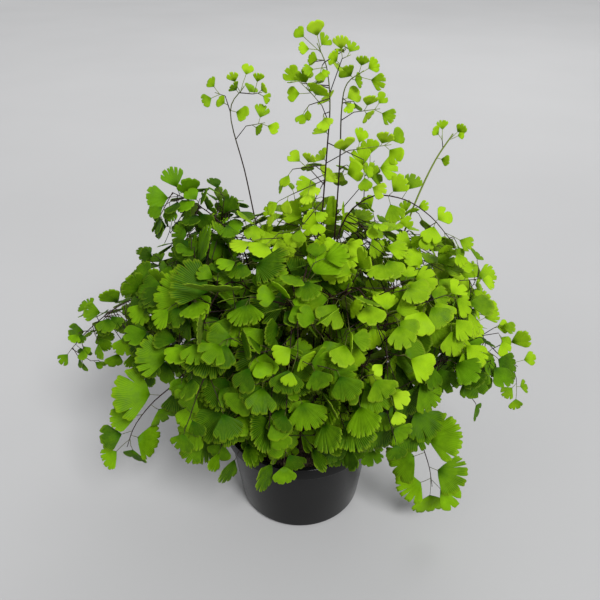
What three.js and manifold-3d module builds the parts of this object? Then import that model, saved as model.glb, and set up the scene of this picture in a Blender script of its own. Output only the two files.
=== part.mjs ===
// Potted maidenhair fern: arching fronds of fan-shaped leaflets on wiry dark stems, rising from a
// crown in the soil of a small black plastic nursery pot.
// Millimetres, +Z up. The origin is the centre of the underside of the pot, and -Y is the front.
import * as THREE from "three";
import { mergeVertices } from "three/addons/utils/BufferGeometryUtils.js";
import Module from "manifold-3d";

const wasm = await Module();
wasm.setup();

// ---------------------------------------------------------------- driving dimensions
const RIM_RADIUS = 50;
const POT_HEIGHT = 64;
const FOOT_RADIUS = 41;
const WALL = 1.5; // thickness of the wall and the floor
const COLLAR_HEIGHT = 9; // the stiffened band under the rim
const COLLAR_STEP = 1.6; // how far the band stands out of the wall
const LIP_ROUND = 0.7; // the band's edges are eased by this much
const FOOT_CHAMFER = 2.5;
const CORNER = 2; // inside, between the floor and the wall
const FOOT_RING = 6; // width of the ring that the pot stands on
const FOOT_PAD = 16; // radius of the flat disc in the middle of its foot
const FOOT_RECESS = 1.6; // the floor is raised between the two, so that the pot drains
const RECESS_SLOPE = 1; // width of the slopes into that raised part
const DRAIN_HOLES = 6;
const DRAIN_RADIUS = 3.2;
const DRAIN_CIRCLE = 27;
const ROUND_SIDES = 28;

const SOIL_TOP = 56;
const SOIL_RELIEF = 1.2; // height of the waves in its top
const SOIL_WAVES = [10.3, 11.9]; // their lengths along X and Y
const GAP = 0.35; // between touching pieces
const CROWN_GAP = 0.65; // round the crown, in the hollow that it sits in

const CROWN_RADIUS = 29;
const CROWN_TOP = 60;
const CROWN_DEPTH = 20;
const CROWN_LUMPS = 5; // round its edge
const LUMP_SHARE = 0.04; // how far they stand out, as a share of its radius
const STEM_FOOT = 51; // the stems stand in the crown down to this height
const STEM_COLLAR = 64; // and leave it upright up to this one

const STEM_BASE_RADIUS = 1.15;
const HOLE_RADIUS = (STEM_BASE_RADIUS + GAP) * Math.SQRT2; // of the square holes they stand in
const STEM_TIP_RADIUS = 0.85;
const TWIG_RADIUS = 0.8;
const TWIG_ROOT_RADIUS = 0.3; // it widens out of the middle of the stem
const STEM_STEPS = 5; // straight stretches of a stem, or more where it has more points
const END_DEPTH = 0.6; // how deep in the end of a stem the leaflet at its tip starts
const FINEST = 0.01; // shorter edges are closed up
const BLADE = 0.62; // thickness of a leaflet
const STALK_SHARE = 0.2; // from a leaflet's root to its fan's centre, as a share of its length
const LEAF_OFFSET = 3.5; // of the leaflets placed by hand, before and behind their stem
const FORWARDS = 0.5; // how far onwards they point, as a share of how far out they stand
const LOBED_FROM = 16; // longer blades have three lobes
const NOTCHED_FROM = 10.2; // longer ones have a notch, and shorter ones are plain

const LEAF_CLEARANCE = 1.1; // between the middle planes of two leaflets
const STEM_CLEARANCE = 1.9; // between a leaflet's middle plane and another frond's stem line
const OWN_CLEARANCE = 1.4; // the same on its own frond
const STEM_TO_STEM = 2.6; // between the lines of two fronds' stems
const RIM_CLEARANCE = 2.5;
const FLOOR_CLEARANCE = 5;

const LEAF_GREEN = 0x4c8a12;
const YOUNG_GREEN = 0x8fbf2a;
const POT_BLACK = 0x1c1c1e;
const SOIL_BROWN = 0x2b1d14;
const CROWN_BROWN = 0x3a2416;

// ---------------------------------------------------------------- the fronds
// root is where the stem leaves the crown, and through are the points that it then arches through.
// faces is the direction that the frond's face looks to: its azimuth (-90 is the front) and its
// elevation. youth is how light its green is.
// The fronds that stand out of the mass have their twigs and leaflets placed one by one: a twig as
// its points, and a leaflet as the x and z of its middle and its length.
const PLACED_FRONDS = [
  { name: "frond_tall_left", root: [-3, 3], faces: [-90, 15], youth: 0.9,
    through: [[8, 5, 112], [11, 4, 181], [14, 4, 242], [15, 4, 266], [13, 3, 284], [8, 0, 296]],
    twigs: [[[14, 4, 257], [11, 4, 266], [3, 4, 275]], [[15, 4, 272], [20, 0, 289], [24, -1, 291]],
      [[15, 4, 236], [25, -2, 245], [46, -5, 249]], [[13, 4, 224], [6, 4, 232], [1, 4, 236]]],
    leaflets: [[7, 303, 8], [0, 300, 6], [2, 294, 6], [12, 297, 8], [16, 290, 7], [6, 288, 6],
      [19, 296, 7], [25, 294, 7], [4, 284, 6], [19, 283, 11], [9, 275, 11], [14, 268, 10],
      [2, 280, 8], [-4, 280, 9], [-3, 273, 7], [13, 252, 11], [22, 249, 10], [31, 252, 9],
      [42, 253, 9], [50, 252, 9], [48, 245, 9], [-3, 238, 8], [5, 240, 7], [12, 238, 10],
      [4, 224, 12], [19, 227, 11], [5, 215, 11], [17, 209, 11], [7, 203, 13], [-4, 206, 12]] },
  { name: "frond_tall_right", root: [4, 3], faces: [-80, 15], youth: 0.85,
    through: [[15, 8, 120], [19, 7, 180], [21, 6, 234], [21, 6, 262], [23, 5, 276], [31, 3, 283]],
    twigs: [[[22, 6, 258], [27, 3, 263], [40, 2, 265]], [[20, 7, 205], [32, 4, 222], [38, 3, 226]]],
    leaflets: [[30, 288, 6], [36, 285, 7], [38, 279, 8], [29, 277, 7], [25, 284, 8], [27, 270, 9],
      [34, 270, 8], [41, 269, 7], [44, 262, 8], [35, 260, 7], [29, 232, 10], [37, 231, 9],
      [42, 223, 9], [27, 199, 12], [10, 190, 12], [29, 182, 12], [24, 212, 9]] },
  { name: "frond_wisp_left", root: [-9, 8], faces: [-90, 15], youth: 0.75,
    through: [[-13, 19, 122], [-24, 19, 184], [-30, 15, 226], [-36, 12, 260], [-28, 11, 274]],
    twigs: [[[-33, 12, 246], [-28, 10, 254], [-18, 9, 256]],
      [[-36, 12, 260], [-38, 11, 269], [-43, 10, 271]], [[-30, 12, 270], [-24, 11, 270], [-19, 10, 271]]],
    leaflets: [[-33, 279, 6], [-26, 281, 6], [-21, 279, 6], [-25, 272, 7], [-17, 274, 6],
      [-17, 267, 6], [-30, 261, 8], [-20, 261, 8], [-14, 254, 7], [-22, 251, 6], [-34, 275, 7],
      [-45, 275, 6], [-47, 268, 6], [-41, 265, 6]] },
  { name: "frond_shoot_right", root: [12, 9], faces: [-90, 15], youth: 1,
    through: [[34, 22, 120], [58, 27, 170], [68, 27, 206], [76, 27, 229], [84, 26, 245]],
    twigs: [[[79, 27, 237], [78, 26, 244]]],
    leaflets: [[87, 249, 6], [90, 244, 6], [74, 247, 6], [79, 249, 6], [81, 231, 6]] },
  { name: "frond_arch_right", root: [9, -3], faces: [-85, 35], youth: 0.6,
    through: [[16, 2, 140], [22, 4, 196], [36, 2, 217], [54, 0, 218], [70, -2, 209], [83, -3, 195]],
    twigs: [[[34, 2, 216], [35, 9, 227], [40, 11, 235]]],
    leaflets: [[31, 236, 11], [38, 242, 9], [47, 234, 11], [42, 226, 10], [51, 226, 11],
      [60, 226, 10], [51, 211, 11], [61, 209, 10], [72, 201, 11], [79, 207, 10], [91, 194, 9],
      [83, 186, 8]] },
  { name: "frond_right_hang", root: [9, -16], faces: [-85, 40], youth: 0.35,
    through: [[26, -34, 112], [48, -45, 119], [61, -46, 108], [70, -46, 87], [78, -46, 64], [82, -46, 46]],
    twigs: [],
    leaflets: [[82, 91, 21], [62, 63, 22], [92, 60, 20], [69, 42, 19], [92, 42, 16], [84, 25, 22],
      [46, 98, 18]] },
  { name: "frond_left_hang", root: [-11, -15], faces: [-95, 40], youth: 0.35,
    through: [[-26, -30, 122], [-44, -40, 146], [-58, -42, 139], [-70, -44, 126], [-84, -44, 112],
      [-96, -44, 95], [-103, -44, 78]],
    twigs: [[[-61, -42, 136], [-71, -44, 143]]],
    leaflets: [[-79, 148, 18], [-60, 128, 14], [-93, 123, 22], [-66, 111, 22], [-100, 105, 16],
      [-76, 95, 21], [-110, 90, 14], [-91, 78, 18], [-113, 73, 13], [-101, 65, 16]] },
  { name: "frond_right_far", root: [21, 1], faces: [-70, 35], youth: 0.65,
    through: [[46, 2, 138], [80, 1, 154], [96, 0, 142], [110, 0, 129], [125, 0, 113], [138, 0, 104]],
    twigs: [[[120, 0, 118], [127, 0, 123]], [[134, 0, 107], [139, 0, 94], [141, 0, 84]]],
    leaflets: [[58, 160, 16], [72, 142, 16], [80, 168, 14], [95, 161, 13], [88, 132, 15],
      [109, 151, 13], [103, 122, 14], [117, 141, 11], [134, 128, 13], [116, 108, 12], [127, 102, 10],
      [146, 107, 9], [134, 86, 9], [147, 84, 9], [142, 75, 9]] },
  { name: "frond_left_far", root: [-21, -1], faces: [-110, 35], youth: 0.35,
    through: [[-44, 0, 142], [-80, 0, 158], [-105, 0, 151], [-127, 0, 134], [-142, 0, 118]],
    twigs: [],
    leaflets: [[-56, 164, 16], [-66, 140, 16], [-80, 171, 15], [-87, 144, 16], [-96, 167, 14],
      [-97, 135, 15], [-110, 158, 13], [-109, 133, 13], [-123, 148, 11], [-122, 123, 12],
      [-135, 133, 10], [-136, 113, 10], [-147, 113, 9]] },
  { name: "frond_left_upper", root: [-15, 6], faces: [-95, 45], youth: 0.2,
    through: [[-25, 6, 140], [-33, 8, 184], [-48, 12, 201], [-60, 15, 209], [-72, 18, 214]],
    twigs: [],
    leaflets: [[-80, 213, 13], [-72, 222, 13], [-62, 219, 13], [-66, 201, 13], [-52, 213, 12],
      [-57, 197, 13], [-47, 189, 13], [-40, 208, 12], [-35, 178, 13], [-16, 172, 12]] },
];
// The others grow by rule: bare is the share of the stem below the first twig, twigs their number,
// spread the lowest one's length, and leaf the largest leaflet's length.
const FRONDS = [
  { name: "frond_upright_right", root: [14, 3], through: [[28, 15, 144], [42, 20, 180], [68, 25, 202]],
    faces: [-75, 30], bare: 0.48, twigs: 5, spread: 26, leaf: 12, youth: 0.7 },
  { name: "frond_right_upper", root: [16, -5], through: [[30, -10, 132], [60, -12, 168], [101, -10, 174]],
    faces: [-75, 50], bare: 0.42, twigs: 5, spread: 34, leaf: 16, youth: 0.55 },
  { name: "frond_right_low", root: [16, -12], through: [[34, -27, 128], [66, -32, 154], [103, -35, 104]],
    faces: [-75, 40], bare: 0.36, twigs: 5, spread: 32, leaf: 19, youth: 0.2 },
  { name: "frond_left_mid", root: [-16, -8], through: [[-30, -20, 130], [-66, -28, 158], [-94, -34, 118]],
    faces: [-105, 45], bare: 0.36, twigs: 5, spread: 32, leaf: 19, youth: 0.25 },
  { name: "frond_skirt_left", root: [-14, -20], through: [[-24, -34, 88], [-36, -48, 106], [-45, -60, 92]],
    faces: [-108, 35], bare: 0.3, twigs: 5, spread: 24, leaf: 20, youth: 0.3 },
  { name: "frond_skirt_front", root: [-1, -24], through: [[-2, -38, 90], [-5, -54, 106], [-9, -66, 88]],
    faces: [-95, 35], bare: 0.3, twigs: 5, spread: 26, leaf: 20, youth: 0.35 },
  { name: "frond_skirt_right", root: [12, -20], through: [[20, -34, 90], [31, -48, 108], [40, -58, 92]],
    faces: [-75, 35], bare: 0.3, twigs: 5, spread: 24, leaf: 20, youth: 0.25 },
  { name: "frond_inner_left", root: [-8, -12], through: [[-14, -26, 110], [-24, -46, 132], [-32, -62, 116]],
    faces: [-102, 38], bare: 0.4, twigs: 5, spread: 28, leaf: 21, youth: 0.4 },
  { name: "frond_inner_right", root: [5, -22], through: [[8, -34, 106], [16, -50, 128], [24, -64, 112]],
    faces: [-82, 38], bare: 0.4, twigs: 5, spread: 28, leaf: 21, youth: 0.3 },
  { name: "frond_front_left", root: [-8, -21], through: [[-20, -34, 122], [-44, -58, 150], [-60, -74, 120]],
    faces: [-110, 42], bare: 0.45, twigs: 5, spread: 30, leaf: 21, youth: 0.3 },
  { name: "frond_front_mid", root: [-3, -14], through: [[-7, -30, 126], [-12, -58, 156], [-16, -80, 124]],
    faces: [-94, 42], bare: 0.45, twigs: 5, spread: 30, leaf: 20, youth: 0.45 },
  { name: "frond_front_right", root: [3, -16], through: [[16, -34, 124], [36, -60, 148], [50, -76, 114]],
    faces: [-78, 42], bare: 0.45, twigs: 5, spread: 30, leaf: 21, youth: 0.3 },
  { name: "frond_front_high", root: [0, -7], through: [[0, -22, 139], [-3, -52, 182], [-7, -80, 138]],
    faces: [-92, 50], bare: 0.36, twigs: 5, spread: 34, leaf: 17, youth: 0.45 },
  { name: "frond_high_right", root: [6, -9], through: [[14, -16, 143], [30, -38, 184], [50, -64, 142]],
    faces: [-80, 50], bare: 0.36, twigs: 5, spread: 34, leaf: 17, youth: 0.5 },
  { name: "frond_high_left", root: [-7, -6], through: [[-14, -14, 143], [-38, -32, 184], [-62, -58, 140]],
    faces: [-100, 50], bare: 0.36, twigs: 5, spread: 34, leaf: 19, youth: 0.35 },
  { name: "frond_back_left_far", root: [-15, 13], through: [[-32, 30, 130], [-78, 58, 152], [-108, 78, 96]],
    faces: [145, 55], bare: 0.38, twigs: 4, spread: 34, leaf: 16, youth: 0.35 },
  { name: "frond_back_left", root: [-7, 16], through: [[-16, 34, 138], [-38, 74, 160], [-52, 104, 100]],
    faces: [118, 50], bare: 0.38, twigs: 4, spread: 34, leaf: 18, youth: 0.4 },
  { name: "frond_back", root: [1, 21], through: [[4, 38, 128], [8, 78, 142], [10, 104, 76]],
    faces: [88, 45], bare: 0.4, twigs: 4, spread: 34, leaf: 19, youth: 0.3 },
  { name: "frond_back_right", root: [9, 16], through: [[22, 36, 136], [48, 72, 156], [62, 98, 98]],
    faces: [60, 50], bare: 0.38, twigs: 4, spread: 34, leaf: 18, youth: 0.4 },
  { name: "frond_back_right_far", root: [17, 13], through: [[34, 34, 126], [80, 58, 142], [108, 74, 86]],
    faces: [35, 55], bare: 0.38, twigs: 4, spread: 34, leaf: 16, youth: 0.4 },
];

const BRANCHING_ANGLE = 56; // degrees between a stem and its twigs
const BRANCHING_SCATTER = 14; // degrees that it varies by
const LEAN = 0.3; // how far a twig leans to the front or back of its frond
const LAST_TWIG = 0.97; // share of the leafy part of a stem where its last twig would be
const SPREAD_FALL = 0.75; // how fast the twigs shorten up the stem: 1 makes a triangle
const SHORTEST_TWIG = 0.9; // in leaflet lengths: a leaflet alone takes a shorter one's place
const LEAF_ANGLE = 54; // degrees between a twig and its leaflets
const TWIG_SAG = 0.15; // how much the twigs hang
const LEAF_SAG = 0.9; // how much the leaflets hang, less so on a young frond
const UPWARDS = 0.5; // how much more a frond faces up where it lies flat
const TILT = 0.6; // how unevenly the leaflets face
const TIP_SHRINK = 0.45; // how much smaller the leaflets are at the tip than on the lowest twig
const LEAF_SPACING = 1.1; // between leaflets along a twig, as a share of a leaflet's length
const FIRST_LEAF = 0.3; // share of a twig below its first leaflet
const LEAFY_SHARE = 0.62; // share of a twig that its side leaflets stand on
const LEAF_TAPER = 0.15; // how much smaller they get along it
const BEND = 0.3; // how unevenly the leaflets point
const PLACED_BEND = 0.1; // the same of those placed by hand
const NECK = 0.15; // share of a leaflet's length where its blade may be close to its own stem

// What a leaflet or twig in the way of another tries, in degrees: a turn on its own axis, a swing
// in its own plane, and a lift out of it.
const TRIES = [[0, 0, 0], [0, 0, 14], [0, 0, -14], [20, 0, 0], [-20, 0, 0], [0, 22, 0], [0, -22, 0],
  [0, 0, 30], [0, 0, -30], [20, 24, 16], [-20, -24, 16], [20, -24, -16], [-20, 24, -16], [0, 45, 20],
  [0, -45, 20], [45, 0, 30], [-45, 0, 30], [70, 0, -30], [-70, 0, -30]];
const SIZES = [1, 0.86, 0.72, 0.55];
const SWINGS = [0, 12, -12, 24, -24, 36, -36];

// ---------------------------------------------------------------- small tools
const UP = new THREE.Vector3(0, 0, 1);
const DOWN = new THREE.Vector3(0, 0, -1);
const vector = (p) => new THREE.Vector3(...p);
const combine = (...terms) => {
  const sum = new THREE.Vector3();
  for (const [factor, v] of terms) sum.addScaledVector(v, factor);
  return sum;
};
const unit = (v) => v.clone().normalize();
const cross = (a, b) => new THREE.Vector3().crossVectors(a, b);
const turned = (v, axis, degrees) => v.clone().applyAxisAngle(axis, THREE.MathUtils.degToRad(degrees));

// The part of v that is square to a unit direction.
const squareTo = (v, direction) => unit(combine([1, v], [-v.dot(direction), direction]));

// A factor near 1.
const varied = (random) => 0.85 + 0.3 * random();

// A repeatable stream of numbers from 0 to 1.
function seeded(seed) {
  let state = seed >>> 0;
  return () => {
    state = (state + 0x6d2b79f5) >>> 0;
    let t = Math.imul(state ^ (state >>> 15), 1 | state);
    t = (t + Math.imul(t ^ (t >>> 7), 61 | t)) ^ t;
    return ((t ^ (t >>> 14)) >>> 0) / 4294967296;
  };
}

// ---------------------------------------------------------------- room between the pieces
// A flat convex outline, or a line of two points, with the axes that can show it clear of another.
function outlineOf(points, normal = null) {
  const edges = points.length === 2
    ? [unit(combine([1, points[1]], [-1, points[0]]))]
    : points.map((p, i) => unit(combine([1, points[(i + 1) % points.length]], [-1, p])));
  const axes = normal ? [normal, ...edges.map((edge) => cross(normal, edge))] : [];
  const centre = combine(...points.map((p) => [1 / points.length, p]));
  const reach = Math.max(...points.map((p) => p.distanceTo(centre)));
  return { points, edges, axes, centre, reach };
}

// Whether two outlines are at least this far apart, along an axis that separates them.
function apart(a, b, distance) {
  const away = combine([1, b.centre], [-1, a.centre]);
  if (away.length() > a.reach + b.reach + distance) return true;
  const axes = [unit(away), ...a.axes, ...b.axes];
  for (const first of a.edges) for (const second of b.edges) axes.push(cross(first, second));
  return axes.some((axis) => {
    const size = axis.length();
    if (size < 1e-3) return false;
    const spanOf = (points) => points.map((p) => p.dot(axis) / size);
    const ofA = spanOf(a.points);
    const ofB = spanOf(b.points);
    return Math.min(...ofB) - Math.max(...ofA) >= distance
      || Math.min(...ofA) - Math.max(...ofB) >= distance;
  });
}

// Whether points along an outline's edges stay out of the pot and above what it stands on.
function clearOfPot({ points }) {
  return points.every((p, i) => [0, 0.25, 0.5, 0.75].every((share) => {
    const q = p.clone().lerp(points[(i + 1) % points.length], share);
    const inReach = Math.hypot(q.x, q.y) < RIM_RADIUS + RIM_CLEARANCE;
    return q.z > FLOOR_CLEARANCE && !(inReach && q.z < POT_HEIGHT + RIM_CLEARANCE);
  }));
}

// ---------------------------------------------------------------- growth
// A point on the smooth curve through the given points, at a share of the way along.
function curveAt(points, share) {
  const spans = points.length - 1;
  const span = Math.min(Math.floor(share * spans), spans - 1);
  const s = share * spans - span;
  const from = points[span];
  const to = points[span + 1];
  const before = points[span - 1] ?? combine([2, from], [-1, to]);
  const after = points[span + 2] ?? combine([2, to], [-1, from]);
  const leave = combine([0.5, to], [-0.5, before]);
  const arrive = combine([0.5, after], [-0.5, from]);
  return combine([2 * s ** 3 - 3 * s ** 2 + 1, from], [s ** 3 - 2 * s ** 2 + s, leave],
    [3 * s ** 2 - 2 * s ** 3, to], [s ** 3 - s ** 2, arrive]);
}

function linesOf(points) {
  return points.slice(1).map((p, i) => outlineOf([points[i], p]));
}

// A frond's stem: its curve, its line as straight stretches, the direction its face looks to, and
// the level direction across the plane that it arches in.
function growStem(row) {
  const [azimuth, elevation] = row.faces.map(THREE.MathUtils.degToRad);
  const collar = vector([...row.root, STEM_COLLAR]);
  const curve = [collar, ...row.through.map(vector)];
  const steps = Math.max(STEM_STEPS, row.through.length);
  const line = Array.from({ length: steps + 1 }, (_, i) => curveAt(curve, i / steps));
  const face = vector([Math.cos(azimuth) * Math.cos(elevation),
    Math.sin(azimuth) * Math.cos(elevation), Math.sin(elevation)]);
  const level = unit(cross(UP, combine([1, curve.at(-1)], [-1, collar])));
  return { row, curve, face, level, line, lines: linesOf(line), twigs: [], leaves: [] };
}

// Which way a frond faces where it runs in the given direction: where it lies flat, more upwards.
function faceAt({ face, level }, direction) {
  const flatness = Math.hypot(direction.x, direction.y);
  return squareTo(combine([1, face], [UPWARDS * flatness, cross(direction, level)]), direction);
}

const along = (curve, share) =>
  unit(combine([1, curveAt(curve, Math.min(share + 0.01, 1))], [-1, curveAt(curve, share - 0.01)]));

// The point of some lines nearest to a given one in space. Or, as seen from the front, a little
// before it, so that what grows from there points onwards.
function nearestOn(lines, point, fromFront = false) {
  const flat = (p) => (fromFront ? p.clone().setY(0) : p);
  const found = lines.map(({ points: [from, to] }) => {
    const run = combine([1, flat(to)], [-1, flat(from)]);
    const share = combine([1, flat(point)], [-1, flat(from)]).dot(run) / run.lengthSq();
    const nearest = THREE.MathUtils.clamp(share, 0.04, 0.96);
    const distance = flat(from.clone().lerp(to, nearest)).distanceTo(flat(point));
    const back = fromFront ? FORWARDS * distance / run.length() : 0;
    return { at: from.clone().lerp(to, Math.max(nearest - back, 0.04)), distance };
  });
  return found.reduce((best, next) => (next.distance < best.distance ? next : best)).at;
}

function placedTwig(frond, points) {
  const [first, ...rest] = points.map(vector);
  const line = [nearestOn(frond.lines, first), ...rest];
  frond.twigs.push({ line, lines: linesOf(line), normal: frond.face, places: [] });
}

// A leaflet placed by hand grows onwards from its frond's stem and twigs.
function placedLeaf(frond, [x, z, size], side, random) {
  const lines = [frond.lines, ...frond.twigs.map((twig) => twig.lines)].flat();
  const at = nearestOn(lines, vector([x, 0, z]), true);
  const middle = vector([x, at.y + side * (LEAF_OFFSET + random()), z]);
  const direction = unit(combine([1, middle], [-1, at]));
  const stalk = Math.max(STALK_SHARE * size, middle.distanceTo(at) - size / 2);
  return { at, direction, normal: squareTo(frond.face, direction), size, stalk };
}

// The twigs that leave the stem by turns left and right, each swung aside where another frond's
// stem is in its way. Near the tip a single leaflet takes a twig's place.
function growTwigs(frond, others, random) {
  const { row, curve } = frond;
  for (let k = 0; k < row.twigs; k++) {
    const height = (k + 0.5) / row.twigs;
    const share = row.bare + (1 - row.bare) * height * LAST_TWIG;
    const at = curveAt(curve, share);
    const stemDirection = along(curve, share);
    const normal = faceAt(frond, stemDirection);
    const side = cross(stemDirection, normal).multiplyScalar(k % 2 ? 1 : -1);
    const angle = THREE.MathUtils.degToRad(BRANCHING_ANGLE + BRANCHING_SCATTER * (random() - 0.5));
    const lean = LEAN * (random() - 0.5);
    const length = row.spread * (1 - height) ** SPREAD_FALL * varied(random);
    const leaf = row.leaf * (1 - TIP_SHRINK * height);
    const planned = unit(combine([Math.cos(angle), stemDirection], [Math.sin(angle), side],
      [lean, normal]));
    if (length < SHORTEST_TWIG * leaf) {
      const start = nearestOn(frond.lines, at);
      frond.twigs.push({ line: [], lines: [], places: [placeAt(start, planned, normal, leaf)] });
      continue;
    }
    for (const swing of SWINGS) {
      const direction = unit(combine([1, turned(planned, normal, swing)], [TWIG_SAG, DOWN]));
      const twig = straightTwig(nearestOn(frond.lines, at), direction, length);
      const clear = twig.lines.every((a) => clearOfPot(a)
        && others.every((b) => apart(a, b, STEM_TO_STEM)));
      if (clear) {
        frond.twigs.push({ ...twig, places: placesOn(twig, normal, leaf) });
        break;
      }
    }
  }
  const [before, end] = frond.line.slice(-2);
  const onwards = unit(combine([1, end], [-1, before]));
  const tip = placeAt(combine([1, end], [-END_DEPTH, onwards]), onwards, faceAt(frond, onwards),
    row.leaf * (1 - TIP_SHRINK));
  frond.twigs.push({ line: [], lines: [], places: [tip] });
}

function straightTwig(start, direction, length) {
  const line = [start, combine([1, start], [length, direction])];
  return { line, lines: linesOf(line), direction, length };
}

const placeAt = (at, direction, normal, size) =>
  ({ at, direction, normal, size, stalk: STALK_SHARE * size });

// Where the leaflets of a twig start, and which way each points: by turns to its two sides, and
// one at its end.
function placesOn({ line: [start, end], direction, length }, normal, leaf) {
  const count = Math.max(1, Math.round((1 - FIRST_LEAF) * length / (LEAF_SPACING * leaf)));
  const angle = THREE.MathUtils.degToRad(LEAF_ANGLE);
  const across = cross(direction, normal);
  const places = [];
  for (let k = 0; k < count; k++) {
    const share = FIRST_LEAF + LEAFY_SHARE * k / count;
    const aside = combine([Math.cos(angle), direction], [Math.sin(angle) * (k % 2 ? 1 : -1), across]);
    const size = leaf * (1 - LEAF_TAPER * share);
    places.push(placeAt(start.clone().lerp(end, share), unit(aside), normal, size));
  }
  places.push(placeAt(combine([1, end], [-END_DEPTH, direction]), direction, normal, leaf));
  return places;
}

// The room a leaflet takes, along u and across v from its fan's centre, as shares of its length.
const FAN_BOUNDS = [[0.4, -0.63], [0.8, -0.6], [1, -0.25], [1, 0.25], [0.8, 0.6], [0.4, 0.63]];

// A leaflet lies in the plane of direction and side. whole is its outline from the root on, and
// blade leaves out the narrow part next to its own stem.
function leafAt({ at, stalk }, direction, normal, size) {
  const side = cross(normal, direction);
  const on = (u, v) => combine([1, at], [u, direction], [v, side]);
  const fan = FAN_BOUNDS.map(([u, v]) => on(stalk + u * size, v * size));
  return { at, direction, normal, side, size, stalk, whole: outlineOf([at, ...fan], normal),
    blade: outlineOf([on(stalk + NECK * size, 0), ...fan], normal) };
}

// Grows the leaflets of one frond, each turned, swung or made smaller until it has room. One that
// has none is left out.
function growLeaves(frond, stems, leaves, random) {
  const placed = (frond.row.leaflets ?? []).map((leaflet, i) =>
    placedLeaf(frond, leaflet, i % 2 ? 1 : -1, random));
  for (const place of [...placed, ...frond.twigs.flatMap((twig) => twig.places)]) {
    const size = place.size * (placed.length ? 1 : varied(random));
    const sag = placed.length ? 0 : LEAF_SAG * (1 - frond.row.youth);
    const bend = placed.length ? PLACED_BEND : BEND;
    const uneven = vector([random() - 0.5, random() - 0.5, random() - 0.5]);
    const direction = unit(combine([1, place.direction], [sag, DOWN], [bend, uneven]));
    const normal = squareTo(combine([1, place.normal], [TILT, uneven]), direction);
    const leaf = findRoom(place, direction, normal, size, stems, leaves, frond);
    if (leaf) {
      leaf.frond = frond;
      frond.leaves.push(leaf);
      leaves.push(leaf);
    }
  }
}

function findRoom(place, direction, normal, size, stems, leaves, frond) {
  const side = cross(normal, direction);
  for (const share of SIZES) {
    for (const [turn, swing, lift] of TRIES) {
      const aimed = turned(turned(direction, normal, swing), side, lift);
      const faced = turned(squareTo(normal, aimed), aimed, turn);
      const leaf = leafAt(place, aimed, faced, size * share);
      if (hasRoom(leaf, stems, leaves, frond)) return leaf;
    }
  }
  return null;
}

function hasRoom(leaf, stems, leaves, frond) {
  return clearOfPot(leaf.whole)
    && stems.every((stem) => (stem.frond === frond
      ? apart(leaf.blade, stem, OWN_CLEARANCE) : apart(leaf.whole, stem, STEM_CLEARANCE)))
    && leaves.every((other) => (other.frond === frond
      ? apart(leaf.blade, other.blade, LEAF_CLEARANCE)
      : apart(leaf.whole, other.whole, LEAF_CLEARANCE)));
}

function growFern() {
  const fronds = [...PLACED_FRONDS, ...FRONDS].map(growStem);
  const stems = [];
  const keep = (frond, lines) => stems.push(...lines.map((line) => ({ ...line, frond })));
  for (const frond of fronds) keep(frond, frond.lines);
  fronds.forEach((frond, i) => {
    const others = stems.filter((line) => line.frond !== frond);
    if (frond.row.leaflets) frond.row.twigs.forEach((points) => placedTwig(frond, points));
    else growTwigs(frond, others, seeded(100 + i));
    for (const twig of frond.twigs) keep(frond, twig.lines);
  });
  const leaves = [];
  fronds.forEach((frond, i) => growLeaves(frond, stems, leaves, seeded(500 + i)));
  return fronds;
}

// ---------------------------------------------------------------- solids
// A closed geometry as a solid that can be cut and joined.
function solidOf(geometry) {
  geometry.deleteAttribute("normal");
  geometry.deleteAttribute("uv");
  const merged = mergeVertices(geometry, 1e-4);
  return new wasm.Manifold(new wasm.Mesh({
    numProp: 3,
    vertProperties: merged.attributes.position.array,
    triVerts: new Uint32Array(merged.index.array),
    tolerance: FINEST,
  }));
}

function geometryOf(solid) {
  const mesh = solid.getMesh();
  return new THREE.BufferGeometry()
    .setAttribute("position", new THREE.BufferAttribute(mesh.vertProperties, 3))
    .setIndex(new THREE.BufferAttribute(mesh.triVerts, 1));
}

// Turned round Z from a [radius, height] profile that starts and ends on the axis.
function turnedGeometry(profile) {
  const points = profile.map(([r, z]) => new THREE.Vector2(r, z));
  return new THREE.LatheGeometry(points, ROUND_SIDES).rotateX(Math.PI / 2);
}

// A round or square post along Z.
function post(x, y, low, high, radius, sides) {
  const geometry = new THREE.CylinderGeometry(radius, radius, high - low, sides);
  return solidOf(geometry.rotateX(Math.PI / 2).translate(x, y, (low + high) / 2));
}

// A tapered stem with closed ends: a ring of a few points round each point of its line.
function taperedStem(line, radii, sides, level) {
  const corners = [];
  line.forEach((p, i) => {
    const ahead = line[Math.min(i + 1, line.length - 1)];
    const behind = line[Math.max(i - 1, 0)];
    const direction = unit(combine([1, ahead], [-1, behind]));
    const across = squareTo(level, direction);
    const over = cross(direction, across);
    for (let k = 0; k < sides; k++) {
      const angle = (2 * Math.PI * k) / sides;
      corners.push(...combine([1, p], [radii[i] * Math.cos(angle), across],
        [radii[i] * Math.sin(angle), over]).toArray());
    }
  });
  const faces = [];
  for (let i = 0; i < line.length - 1; i++) {
    for (let k = 0; k < sides; k++) {
      const a = i * sides + k;
      const b = i * sides + ((k + 1) % sides);
      faces.push(a, b, b + sides, a, b + sides, a + sides);
    }
  }
  const last = (line.length - 1) * sides;
  for (let k = 1; k < sides - 1; k++) faces.push(0, k + 1, k, last, last + k, last + k + 1);
  return solidOf(new THREE.BufferGeometry()
    .setAttribute("position", new THREE.Float32BufferAttribute(corners, 3))
    .setIndex(faces));
}

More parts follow.
